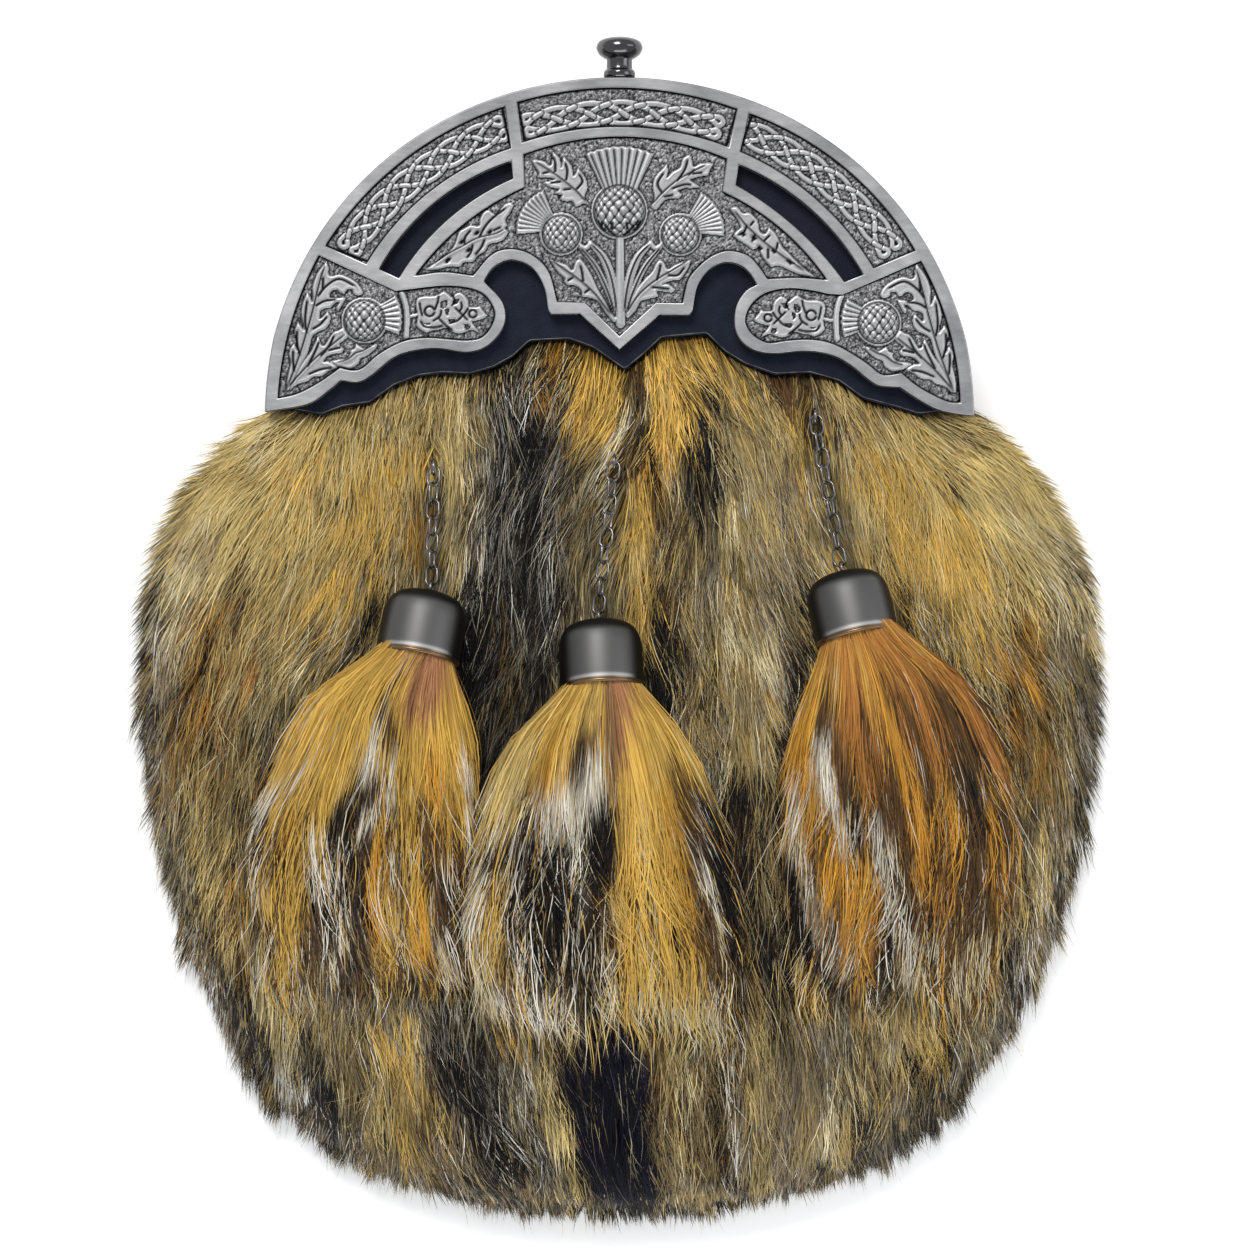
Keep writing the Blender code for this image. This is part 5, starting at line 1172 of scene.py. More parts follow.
for name, ((x, y, lean, links, staple_x), _rows) in TASSELS.items():
    m = cup_matrix(x, y, lean)
    outer = smooth_profile(CUP_PROFILE, 5)
    inner = [(0.0, 15.4), (5.4, 13.9), (8.0, 11.0), (8.7, 6.0), (8.8, 0.6)]
    bead = [(9.2 + 0.42 * math.cos(a) * 1.1, 0.48 + 0.48 * math.sin(a)) for a in np.linspace(-2.6, 1.3, 9)]
    cup_mesh = turned("cup", inner + [(8.8, 0.25)] + bead + [(9.5, 1.15)] + outer[1:], 64, m)
    cup = piece("cup_body_" + name, cup_mesh, CUP_METAL)
    # painted reflection: the cup is lighter on the side turned to the front and dark round its sides, with a painted
    # highlight in a thin band just above the lip
    painted_light = cup_mesh.color_attributes.new("tint", "FLOAT_COLOR", "POINT")
    spot = np.array([tuple(m.inverted() @ (v.co / MM)) for v in cup_mesh.vertices])
    front = np.array(m.to_3x3().inverted() @ Vector((0, 0, 1)))
    turn = (spot[:, 0] * front[0] + spot[:, 1] * front[1]) / np.maximum(np.hypot(spot[:, 0], spot[:, 1]) * math.hypot(front[0], front[1]), 1e-6)
    across_cup = np.sqrt(np.clip(1 - turn ** 2, 0, 1))
    face = np.clip((0.86 - across_cup) / 0.16, 0, 1) * (turn > 0) * np.clip((13.6 - spot[:, 2]) / 1.4, 0, 1)
    level = 0.022 + 0.09 * face + 0.30 * np.exp(-((spot[:, 2] - 1.5) / 0.4) ** 2) * face ** 2
    tint = np.ones((len(spot), 4), np.float32)
    tint[:, :3] = level[:, None] * np.array((1.0, 0.995, 0.99))
    painted_light.data.foreach_set("color", tint.ravel())
    cup_mesh.materials.append(LIP_METAL)
    inv = m.inverted()
    for poly in cup_mesh.polygons:
        c = inv @ (poly.center / MM)
        if c.z < 1.05:
            poly.material_index = 1
    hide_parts("cup_" + name)
    # eye, chain and staple as in the working model
    eye = [m @ Vector((0, 1.45 * math.cos(a), 17.5 + 1.45 * math.sin(a))) for a in np.linspace(0, 2 * math.pi, 21)[:-1]]
    top = m @ Vector((0, 0, 18.95))
    half = 5.1 / 2 - 0.25
    first = half - 0.36 - 0.25 - 0.15
    length = first + 3.9 * (links - 1) + half
    rise, dx = 32.2 - top.z, staple_x - top.x
    last = Vector((staple_x, top.y + math.sqrt(length ** 2 - dx ** 2 - rise ** 2), 32.2))
    anchor = last - Vector((0, 0.2, 0))
    along = (last - top).normalized()
    parts = []
    for k in range(links):
        middle = top + along * (first + 3.9 * k)
        wobble = (4, -7, 6, 2, -5, 8, -3, 5, -6)[k]
        parts.append(tube(link_oval(4.6, 3.0, (25.0, -65.0)[k % 2] + wobble, middle, along), 0.27))
    chain = piece("chain_" + name, wires_mesh("chain", parts), WIRE_METAL)
    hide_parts(*["link_%s_%02d" % (name, k + 1) for k in range(links)])
    legs = [(anchor.x, anchor.y + 1.7 * math.cos(a), anchor.z - 0.9 + 1.7 * math.sin(a)) for a in np.linspace(0, math.pi, 9)]
    legs = [(anchor.x, anchor.y + 1.7, 22.3)] + legs + [(anchor.x, anchor.y - 1.7, 22.3)]
    staple = piece("staple_wire_" + name, wires_mesh("staple", [tube(legs, 0.4, False)]), WIRE_METAL)
    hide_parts("staple_" + name)
    ring = piece("cup_eye_" + name, wires_mesh("eye", [tube(eye, 0.36)]), WIRE_METAL)

KNOB_PROFILE = (
    (0.0, -1.3), (1.2, -1.3), (1.2, 0.0), (3.45, 0.0), (3.7, 0.4), (3.7, 1.2), (3.45, 1.7),
    (3.06, 2.2), (3.02, 4.2), (3.45, 4.5), (4.65, 5.35), (5.3, 6.4), (5.45, 7.2), (5.0, 8.3),
    (3.9, 9.0), (2.2, 9.4), (0.0, 9.55),
)
knob_place = Matrix.Translation((0, 128.15, 25.5)) @ Matrix.Rotation(-math.pi / 2, 4, "X")
knob = piece("knob_finial", turned("knob", list(KNOB_PROFILE[:3]) + smooth_profile(KNOB_PROFILE[3:], 5), 60, knob_place),
             KNOB_METAL)
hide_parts("knob")


# ================================================================ leathers
def leather(name, colour, light, roughness, scale, depth):
    mat, tree, shader = principled(name, colour, roughness)
    shader.inputs["Specular IOR Level"].default_value = 0.4
    tex = node(tree, "ShaderNodeTexCoord")
    cells = node(tree, "ShaderNodeTexVoronoi", Scale=scale, feature="DISTANCE_TO_EDGE")
    tree.links.new(tex.outputs["Object"], cells.inputs["Vector"])
    soft = node(tree, "ShaderNodeTexNoise", Scale=scale * 0.22, Detail=4.0)
    tree.links.new(tex.outputs["Object"], soft.inputs["Vector"])
    tree.links.new(ramp(tree, soft.outputs["Fac"], ((0.32, colour), (0.72, light))), shader.inputs["Base Color"])
    lift = node(tree, "ShaderNodeMapRange")
    lift.inputs["From Max"].default_value = 0.22
    tree.links.new(cells.outputs["Distance"], lift.inputs["Value"])
    bumped(tree, shader, lift.outputs["Result"], 0.35, depth)
    return mat


BOARD_LEATHER = leather("board_leather", (0.0045, 0.0072, 0.0165), (0.0080, 0.0118, 0.025), 0.42, 1500.0, 0.00005)
BOARD_LEATHER.node_tree.nodes["Principled BSDF"].inputs["Specular IOR Level"].default_value = 0.12
POUCH_LEATHER = leather("pouch_leather", (0.016, 0.014, 0.013), (0.030, 0.026, 0.024), 0.5, 900.0, 0.00012)
for leather_node, look in (("cantle_board", BOARD_LEATHER), ("front_panel", POUCH_LEATHER), ("back_panel", POUCH_LEATHER),
                           ("gusset", POUCH_LEATHER), ("strap_keeper_left", POUCH_LEATHER), ("strap_keeper_right", POUCH_LEATHER)):
    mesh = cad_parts[leather_node].data
    if not mesh.materials:
        mesh.materials.append(look)
    for k in range(len(mesh.materials)):
        mesh.materials[k] = look
# painted highlight: a thin strip of lighter leather runs along the board's scalloped margin
EDGE_HIGHLIGHT_LEATHER = leather("board_edge_highlight", (0.016, 0.018, 0.024), (0.17, 0.16, 0.14), 0.4, 1500.0, 0.00003)
margin_x = np.arange(-76.0, 76.1, 0.8)
margin_y = np.interp(margin_x, _board[:, 0], _board[:, 1]) + 0.40
margin = tube([(x, y, 24.81) for x, y in zip(margin_x, margin_y)], 0.13, False, 6)
piece("board_margin", wires_mesh("board_margin", [margin]), EDGE_HIGHLIGHT_LEATHER)


# ================================================================ cantle
CANTLE_LOW, CANTLE_BACK, FIELD_Z, RIM_Z = 22.3, 25.1, 28.1, 28.9
ARC_Y = 44.35              # height of the cantle's arc centre
SKIRT = 1.5                # wall of the turned-down rim
# Lower edge of the cantle, left tip to the middle point. corner: 1 is a sharp turn.
CANTLE_EDGE = (
    # x, y, corner
    (-82.6, 50.0, 1), (-72.6, 51.8, 0), (-67.5, 55.1, 0), (-64.9, 57.3, 1),
    (-60.9, 56.9, 0), (-57.6, 58.6, 0), (-51.5, 63.2, 0), (-43.3, 64.8, 0),
    (-35.6, 63.9, 0), (-30.4, 65.6, 0), (-26.9, 70.1, 0), (-27.2, 75.4, 0),
    (-31.6, 80.4, 1), (-29.3, 83.6, 0), (-25.3, 85.4, 0), (-20.5, 83.6, 0),
    (-17.6, 79.0, 0), (-16.6, 73.6, 0), (-15.7, 72.7, 1), (-9.2, 72.8, 1),
    (0.0, 64.5, 1),
)
# The same for the right half, as if seen in a mirror: the casting isn't quite even.
CANTLE_EDGE_RIGHT = (
    (-82.7, 48.95, 1), (-77.2, 49.7, 0), (-73.3, 50.8, 0), (-69.5, 52.9, 0), (-66.7, 54.7, 0),
    (-65.3, 55.7, 1), (-63.0, 55.8, 0), (-60.0, 56.2, 0), (-57.3, 58.0, 0), (-54.3, 60.5, 0),
    (-50.5, 62.8, 0), (-46.3, 63.9, 0), (-42.1, 64.1, 0), (-37.2, 63.6, 0), (-33.4, 63.8, 0),
    (-30.2, 64.9, 0), (-27.9, 67.0, 0), (-26.8, 70.1, 0), (-27.2, 74.6, 0), (-29.4, 78.1, 0),
    (-32.0, 79.6, 1), (-30.2, 82.4, 0), (-27.9, 84.2, 0), (-24.8, 84.8, 0), (-21.7, 83.6, 0),
    (-19.4, 81.3, 0), (-18.0, 78.6, 0), (-17.4, 75.6, 0), (-17.0, 73.3, 0), (-16.1, 72.5, 1),
    (-9.3, 72.55, 1), (0.0, 64.5, 1),
)
# Sunk fields and windows of the left half, clockwise. rise: height of the arc that
# joins a corner to the next corner (0 is a straight edge). The _RIGHT tables are the
# right half's, as if seen in a mirror.
WINDOW = (
    # x, y, corner, rise
    (-56.0, 83.2, 1, 3.8), (-25.2, 108.4, 1, 0), (-24.8, 104.3, 1, -2.8), (-51.4, 81.1, 1, 0),
)
WINDOW_RIGHT = (
    (-56.8, 81.9, 1, 3.3), (-27.8, 107.6, 1, 0), (-27.1, 102.8, 1, -1.9), (-52.4, 80.2, 1, 0),
)
PANEL_SIDE_TOP = (
    (-68.5, 88.6, 1, 4.6), (-26.7, 121.1, 1, 0), (-25.3, 111.4, 1, -3.9), (-59.0, 84.4, 1, 0),
)
PANEL_SIDE_TOP_RIGHT = (
    (-68.9, 87.5, 1, 4.4), (-30.2, 119.5, 1, 0), (-28.1, 110.6, 1, -3.3), (-59.2, 83.4, 1, 0),
)
PANEL_TOP = (
    (-23.8, 122.1, 1, 4.1), (27.4, 120.5, 1, 0), (25.5, 111.6, 1, -4.2), (-22.7, 112.7, 1, 0),
)
FIELD_SIDE = (
    (-79.6, 53.1, 1, 1.9), (-70.0, 86.4, 1, 0), (-52.2, 78.05, 1, 0), (-44.5, 79.0, 0, 0),
    (-39.8, 79.3, 0, 0), (-34.6, 78.7, 0, 0), (-31.0, 76.8, 0, 0), (-29.0, 72.6, 0, 0),
    (-31.2, 68.0, 0, 0), (-35.2, 66.6, 0, 0), (-44.5, 67.2, 0, 0), (-50.6, 66.3, 0, 0),
    (-56.2, 63.3, 0, 0), (-59.8, 60.2, 0, 0), (-62.2, 59.6, 0, 0), (-65.1, 60.2, 1, 0),
    (-70.0, 56.8, 0, 0), (-75.0, 54.2, 0, 0),
)
FIELD_SIDE_RIGHT = (
    (-79.4, 52.1, 1, 2.1), (-70.2, 85.1, 1, 0), (-52.0, 77.2, 1, 0), (-48.7, 77.4, 0, 0),
    (-45.5, 78.1, 0, 0), (-41.0, 78.7, 0, 0), (-37.2, 78.5, 0, 0), (-33.4, 77.3, 0, 0),
    (-30.5, 74.6, 0, 0), (-29.3, 71.4, 0, 0), (-30.1, 69.1, 0, 0), (-32.0, 67.2, 0, 0),
    (-34.9, 66.0, 0, 0), (-38.7, 66.5, 0, 0), (-42.9, 66.8, 0, 0), (-47.1, 66.5, 0, 0),
    (-50.9, 65.3, 0, 0), (-54.7, 63.2, 0, 0), (-58.1, 60.9, 0, 0), (-60.4, 59.0, 0, 0),
    (-62.3, 58.5, 0, 0), (-65.7, 59.0, 1, 0), (-69.1, 56.2, 0, 0), (-73.0, 53.9, 0, 0),
    (-76.7, 52.3, 0, 0),
)
# left half of the middle field, from its top corner down to the middle point
FIELD_MIDDLE = (
    (-22.35, 109.9, 1, 0), (-22.0, 102.3, 1, -2.2), (-47.6, 81.7, 1, 0), (-41.0, 82.5, 0, 0),
    (-34.1, 81.7, 1, 0), (-30.0, 86.4, 0, 0), (-25.7, 87.9, 0, 0), (-20.7, 86.7, 0, 0),
    (-16.6, 82.8, 0, 0), (-14.5, 75.6, 1, 0), (-8.0, 75.4, 1, 0), (0.0, 67.6, 1, 0),
)
FIELD_MIDDLE_RIGHT = (
    (-25.0, 108.9, 1, 0), (-23.9, 101.3, 1, -2.2), (-48.3, 80.7, 1, 0), (-41.4, 81.2, 0, 0),
    (-34.5, 80.9, 1, 0), (-32.1, 84.3, 0, 0), (-29.7, 86.5, 0, 0), (-25.6, 87.5, 0, 0),
    (-22.2, 86.6, 0, 0), (-19.4, 84.7, 0, 0), (-16.3, 81.3, 0, 0), (-15.3, 78.2, 0, 0),
    (-14.7, 75.3, 1, 0), (-8.4, 75.4, 1, 0), (0.0, 67.6, 1, 0),
)
FIELD_MIDDLE_RISE = 4.65   # arc over its top edge


def spline_points(pts, step):
    """Points along a Catmull-Rom curve through pts, without the last one."""
    ends = [pts[0] * 2 - pts[1]] + pts + [pts[-1] * 2 - pts[-2]]
    out = []
    for i in range(1, len(ends) - 2):
        a, b, c, d = ends[i - 1:i + 3]
        n = max(1, round((c - b).length / step))
        for k in range(n):
            t = k / n
            out.append(0.5 * (2 * b + (c - a) * t + (2 * a - 5 * b + 4 * c - d) * t * t
                              + (3 * b - a - 3 * c + d) * t ** 3))
    return out


def arc_points(a, b, rise, step):
    """Points along the arc from a to b that stands rise to the left of it."""
    chord = b - a
    if abs(rise) < 1e-6:
        return [a]
    radius = (chord.length ** 2 / 4 + rise ** 2) / (2 * rise)
    left = Vector((-chord.y, chord.x)).normalized()
    centre = (a + b) / 2 - left * (radius - rise)
    turn = -2 * math.atan2(chord.length / 2, radius - rise)
    if rise < 0:
        turn = 2 * math.atan2(chord.length / 2, -(radius - rise))
    n = max(2, round(abs(turn * radius) / step))
    out = []
    for k in range(n):
        out.append(centre + Matrix.Rotation(turn * k / n, 2) @ (a - centre))
    return out


def trace(rows, step, closed=True):
    """The points of a table of corners and smooth points."""
    rows = [tuple(r) + (0,) * (4 - len(r)) for r in rows]
    if closed:
        rows = rows + [rows[0]]
    out, run, rise = [], [Vector(rows[0][:2])], rows[0][3]
    for x, y, corner, next_rise in rows[1:]:
        run.append(Vector((x, y)))
        if corner:
            out += spline_points(run, step) if len(run) > 2 else arc_points(run[0], run[1], rise, step)
            run, rise = [run[-1]], next_rise
    if len(run) > 1:
        out += spline_points(run, step)
        run = [run[-1]]
    if not closed:
        out.append(run[0])
    return out


def flip(pts):
    return [Vector((-p.x, p.y)) for p in reversed(pts)]


def rim_radius(angle):
    """The cantle's arc is a little fuller at its haunches and tucks in at the tips."""
    a = math.degrees(angle)
    a = min(a, 180 - a)
    tuck = min(max((a - 4) / 12, 0), 1)
    return 82.8 + 0.75 * tuck + 0.85 * math.sin(2 * angle) ** 2


def rim_arc(inset, low, step):
    """The outer arc, right to left, less inset, from low degrees above the tips."""
    n = round((180 - 2 * low) * math.pi / 180 * 83 / step)
    out = []
    for k in range(n + 1):
        a = math.radians(low + (180 - 2 * low) * k / n)
        r = rim_radius(a) - inset
        out.append(Vector((r * math.cos(a), ARC_Y + r * math.sin(a))))
    return out


def cantle_outline(step):
    left = trace(CANTLE_EDGE, step, closed=False)
    right = flip(trace(CANTLE_EDGE_RIGHT, step, closed=False))
    arc = [p for p in rim_arc(0, 3.15, step)[1:] if p.x > 0 or p.y > CANTLE_EDGE[0][1] + step / 3]
    return left + right[1:] + arc


def middle_field(step):
    left = trace(FIELD_MIDDLE, step, closed=False)
    right = flip(trace(FIELD_MIDDLE_RIGHT, step, closed=False))
    top = arc_points(left[0], right[-1], FIELD_MIDDLE_RISE, step)
    return left + right[1:] + list(reversed(top[1:]))

def to_plan(pts):
    return np.array([(p[0] / UNIT + 620.0, 626.5 - p[1] / UNIT) for p in pts])


RX0, RY0, RX1, RY1 = 262, 76, 979, 420
GX, GY = np.meshgrid(np.arange(RX0, RX1, dtype=float), np.arange(RY0, RY1, dtype=float))
RELIEF = np.zeros(GX.shape)          # mm above the fields' floor
DARKEN = np.zeros(GX.shape)          # oxide left in cuts and gaps


def inked(w, amount):
    DARKEN[w] = np.maximum(DARKEN[w], amount)


def window_of(pts, pad):
    """Index slices of the height map round some plan points."""
    p = np.asarray(pts, float)
    x0, y0 = np.floor(p.min(0) - pad).astype(int)
    x1, y1 = np.ceil(p.max(0) + pad).astype(int) + 1
    return (slice(max(y0 - RY0, 0), max(min(y1 - RY0, GX.shape[0]), 1)),
            slice(max(x0 - RX0, 0), max(min(x1 - RX0, GX.shape[1]), 1)))


def curve(pts, closed=False, per=6):
    """A smooth curve through plan points."""
    p = np.asarray(pts, float)
    if len(p) < 3:
        t = np.linspace(0, 1, per + 1)[:, None]
        return p[0] + (p[-1] - p[0]) * t
    ends = np.concatenate((p[-1:], p, p[:2])) if closed else np.concatenate((2 * p[:1] - p[1:2], p, 2 * p[-1:] - p[-2:-1]))
    out = []
    for i in range(1, len(ends) - 2):
        a, b, c, d = ends[i - 1:i + 3]
        for k in range(per):
            t = k / per
            out.append(0.5 * (2 * b + (c - a) * t + (2 * a - 5 * b + 4 * c - d) * t * t + (3 * b - a - 3 * c + d) * t ** 3))
    if not closed:
        out.append(p[-1])
    return np.array(out)


def along(pts, X, Y, closed=False):
    """Distance to a polyline and the share of its length at the nearest point."""
    p = np.asarray(pts, float)
    q = np.roll(p, -1, 0) if closed else p[1:]
    p = p if closed else p[:-1]
    lengths = np.hypot(*(q - p).T)
    total, done = max(lengths.sum(), 1e-9), 0.0
    best, share = np.full(X.shape, 1e9), np.zeros(X.shape)
    for a, b, n in zip(p, q, lengths):
        d = b - a
        t = np.clip(((X - a[0]) * d[0] + (Y - a[1]) * d[1]) / max(n * n, 1e-9), 0, 1)
        r = np.hypot(X - a[0] - t * d[0], Y - a[1] - t * d[1])
        hit = r < best
        best = np.where(hit, r, best)
        share = np.where(hit, (done + t * n) / total, share)
        done += n
    return best, share


def inside_of(pts, X, Y):
    p = np.asarray(pts, float)
    q = np.roll(p, -1, 0)
    odd = np.zeros(X.shape, bool)
    for a, b in zip(p, q):
        if a[1] == b[1]:
            continue
        cross = ((a[1] > Y) != (b[1] > Y)) & (X < (b[0] - a[0]) * (Y - a[1]) / (b[1] - a[1]) + a[0])
        odd ^= cross
    return odd


def shape(pts, height, edge=1.8, lip=0.10):
    """A raised patch with rounded, slightly raised edges; pts is a closed outline."""
    w = window_of(pts, 3)
    X, Y = GX[w], GY[w]
    d, _ = along(pts, X, Y, True)
    ins = inside_of(pts, X, Y)
    s = np.clip(np.where(ins, d, -d) / edge + 0.35, 0, 1)
    h = height * s * s * (3 - 2 * s) + np.where(ins, lip * np.exp(-((d - 1.5) / 0.9) ** 2), 0)
    RELIEF[w] = np.maximum(RELIEF[w], h)


def stroke(pts, w0, w1, height, taper=False, smooth=True):
    """A raised rounded line; half widths w0 to w1, or fullest in its middle when tapered."""
    p = curve(pts) if smooth else np.asarray(pts, float)
    w = window_of(p, max(w0, w1) + 3)
    d, t = along(p, GX[w], GY[w])
    half = w0 + (w1 - w0) * t
    if taper:
        half = np.maximum(half * np.sin(np.pi * np.clip(0.08 + 0.90 * t, 0, 1)) ** 0.6, 0.6)
    h = height * np.sqrt(np.clip(1 - (d / (half + 0.3)) ** 2, 0, 1))
    RELIEF[w] = np.maximum(RELIEF[w], h)


def groove(pts, half, depth, smooth=True):
    p = curve(pts) if smooth else np.asarray(pts, float)
    w = window_of(p, half * 3 + 1)
    d, t = along(p, GX[w], GY[w])
    ends = np.clip(np.minimum(t, 1 - t) / 0.08 + 0.3, 0, 1)
    inked(w, 0.95 * min(depth / 0.14, 1.0) * np.exp(-(d / (half * 1.2 + 0.3)) ** 4) * ends)
    RELIEF[w] = np.maximum(RELIEF[w] - depth * np.exp(-(d / half) ** 2) * ends, 0)


def pocket(pts):
    """Cuts a raised patch down to the fields' floor."""
    pts = curve(pts, True, 3)
    w = window_of(pts, 2)
    ins = inside_of(pts, GX[w], GY[w])
    RELIEF[w] = np.where(ins, 0.0, RELIEF[w])
    DARKEN[w] = np.where(ins, 0.0, DARKEN[w])


def ridge(pts, half, height):
    p = curve(pts)
    w = window_of(p, half * 3 + 1)
    d, _ = along(p, GX[w], GY[w])
    RELIEF[w] += height * np.exp(-(d / half) ** 2) * (RELIEF[w] > 0.08)


def leaf(outline, midrib, veins=(), height=0.42):
    outline = curve(outline, True, 3)
    shape(outline, height)
    for v in veins:
        groove(v, 0.9, 0.2)
    groove([(x - 1.1, y - 1.1) for x, y in midrib], 0.7, 0.12)
    ridge(midrib, 1.0, 0.16)


def blade(pts, half, height=0.45):
    """A leaf lobe: full in its middle, with a groove down its length."""
    stroke(pts, half, half, height, taper=True)
    groove(pts, 0.65, 0.16)


def bulb(cx, cy, radius, pitch, height):
    """A thistle head: a dome of diamond scales."""
    w = window_of([(cx - radius, cy - radius), (cx + radius, cy + radius)], 5)
    dx, dy = GX[w] - cx, GY[w] - cy
    rho = np.hypot(dx, dy) / radius
    dx = dx + lattice_noise(GX[w], GY[w], 6.0, 61) * 1.5
    dy = dy + lattice_noise(GX[w], GY[w], 6.0, 62) * 1.5
    stretch = np.arcsin(np.clip(rho, 0, 0.985)) / np.maximum(rho, 1e-3)
    a, b = dx * stretch, dy * stretch * 0.82
    u, v = (a + b) / pitch, (a - b) / pitch
    m = (np.abs((u - np.floor(u) - 0.5) * 2) ** 3.4 + np.abs((v - np.floor(v) - 0.5) * 2) ** 3.4) ** (1 / 3.4)
    scales = 0.36 * (1 - np.clip(m, 0, 1.1) ** 2.2) - 0.17
    scale_luck = np.random.default_rng(63).uniform(0, 0.22, (40, 40))[(np.floor(u).astype(int) + 20) % 40, (np.floor(v).astype(int) + 20) % 40]
    inked(w, np.where(rho < 1, np.maximum(np.clip((m - 0.78) / 0.2, 0, 1) * 0.88, scale_luck) * np.clip((1 - rho) / 0.06, 0, 1)
                      + 0.5 * np.clip((rho - 0.86) / 0.14, 0, 1), 0))
    dome = height * np.sqrt(np.clip(1 - rho ** 2, 0, 1)) + 0.22
    h = np.where(rho < 1, dome + scales * np.clip((1 - rho) / 0.12, 0, 1), 0)
    RELIEF[w] = np.where(rho < 1, np.maximum(h, 0.1), RELIEF[w])
    stroke([(cx + (radius + 1.7) * math.cos(t), cy + (radius + 1.7) * math.sin(t)) for t in np.linspace(0, 2 * math.pi, 41)],
           0.7, 0.7, 0.26, smooth=False)
    inked(w, 0.8 * np.exp(-((rho * radius - radius - 0.3) / 0.8) ** 2))


def fan(ax, ay, a0, a1, r0, r1, flutes, height=0.5):
    """The thistle's plume: radial flutes between two angles (degrees, anticlockwise) and radii."""
    lim = [(ax + r * math.cos(math.radians(t)), ay - r * math.sin(math.radians(t)))
           for r in (r0, r1) for t in np.linspace(a0, a1, 9)]
    w = window_of(lim, 4)
    dx, dy = GX[w] - ax, ay - GY[w]
    r = np.hypot(dx, dy)
    mid, half = (a0 + a1) / 2, (a1 - a0) / 2
    t = (np.degrees(np.arctan2(dy, dx)) - mid + 180) % 360 - 180
    side = (half - np.abs(t)) * np.pi / 180 * r
    tips = r1 - 0.9 + 0.4 * np.cos(2 * np.pi * flutes * (t / half + 1) / 2)
    d = np.minimum(np.minimum(side, tips - r), r - r0 + 2)
    s = np.clip(d / 1.6 + 0.3, 0, 1)
    wave = np.cos(2 * np.pi * flutes * (t / half + 1) / 2)
    h = (height + 0.17 * np.sign(-wave) * np.abs(wave) ** 0.7 + 0.12 * (r - r0) / (r1 - r0)) * s * s * (3 - 2 * s)
    RELIEF[w] = np.where(d > -0.5, np.maximum(RELIEF[w], h), RELIEF[w])
    inked(w, np.where(d > 0.6, np.clip((wave - 0.45) / 0.4, 0, 1) * 0.78 * np.clip((tips - r) / 5.0, 0, 1), 0))


def band(p, half, height, cut=0.95):
    """Paints one stretch of interlace over whatever lies there, with a gap beside it."""
    w = window_of(p, half + 4)
    d, _ = along(p, GX[w], GY[w])
    h = height * np.clip(1.25 - (d / half) ** 4, 0, 1) - 0.06 * np.exp(-(d / 0.9) ** 2)
    RELIEF[w] = np.where(d < half + 0.2, h, np.where(d < half + cut + 0.1, RELIEF[w] * 0.2, RELIEF[w]))
    DARKEN[w] = np.where(d < half, 0.10 * np.exp(-(d / 0.8) ** 2), np.where(d < half + cut, 0.85, DARKEN[w]))


def interlace(loops, half=2.9, height=0.46):
    """Bands that pass over and under each other in turn. Each loop: closed plan points."""
    curves = [np.asarray(c, float) for c in loops]
    for c in curves:
        band(np.concatenate((c, c[:1])), half, height)
    hits = []
    for i, a in enumerate(curves):
        a2 = np.roll(a, -1, 0)
        for j in range(i, len(curves)):
            b = curves[j]
            b2 = np.roll(b, -1, 0)
            for m in range(len(a)):
                r = a2[m] - a[m]
                s = b2 - b
                den = r[0] * s[:, 1] - r[1] * s[:, 0]
                den = np.where(np.abs(den) < 1e-9, 1e-9, den)
                q = b - a[m]
                t = (q[:, 0] * s[:, 1] - q[:, 1] * s[:, 0]) / den
                u = (q[:, 0] * r[1] - q[:, 1] * r[0]) / den
                for n in np.nonzero((t >= 0) & (t < 1) & (u >= 0) & (u < 1))[0]:
                    if i == j and (abs(n - m) < 3 or abs(n - m) > len(a) - 3 or n < m):
                        continue
                    hits.append((i, m, j, n))
    over, state = {}, {}
    for i in range(len(curves)):
        mine = sorted([(m, k) for k, (a, m, b, n) in enumerate(hits) if a == i]
                      + [(n, k) for k, (a, m, b, n) in enumerate(hits) if b == i])
        known = [(rank, (over[k] == (i, place))) for rank, (place, k) in enumerate(mine) if k in over]
        parity = 0
        if known:
            parity = (known[0][0] + (0 if known[0][1] else 1)) % 2
        for rank, (place, k) in enumerate(mine):
            if k in over:
                continue
            a, m, b, n = hits[k]
            up = (rank - parity) % 2 == 0
            here, there = ((i, place), ((b, n) if (a, m) == (i, place) else (a, m)))
            over[k] = here if up else there
    for k, (i, place) in over.items():
        c = curves[i]
        reach = max(2, round((half + 3.0) / np.hypot(*(c[1] - c[0]))))
        pts = np.array([c[(place + o) % len(c)] for o in range(-reach + 1, reach + 1)])
        band(pts, half, height + 0.06)


def ring(cx, cy, radius, half=1.3, height=0.45, start=0.0, turn=2 * math.pi):
    stroke([(cx + radius * math.cos(t), cy + radius * math.sin(t)) for t in np.linspace(start, start + turn, 17)],
           half, half, height, smooth=False)


def mirrored(pts, axis, drop=0.0):
    return [(2 * axis - x, y + drop) for x, y in pts]


# ---- middle field: three thistles, their stems and leaves
fan(620.5, 227.0, 64.5, 115.5, 36, 79.5, 8.5, 0.5)
bulb(620.0, 213.0, 25.5, 10.4, 0.95)
for x0, x1, y0, y1 in ((598, 607, 222, 233), (605, 616, 226, 237), (642, 633, 222, 233), (635, 624, 226, 237)):
    groove([(x0, y0), ((x0 + x1) / 2, (y0 + y1) / 2 + 2), (x1, y1)], 1.0, 0.4)
for x in (602, 612, 628, 638):
    groove([(x, 228 if x in (602, 638) else 232), (x + (620 - x) * 0.1, 224)], 1.1, 0.35)
fan(560.0, 232.0, 111.6, 185.3, 19.0, 43.6, 10, 0.42)
bulb(562.0, 236.0, 18.6, 8.3, 0.8)
fan(680.0, 233.0, -6.0, 61.4, 19.0, 45.0, 10, 0.42)
bulb(680.5, 236.5, 18.6, 8.3, 0.8)
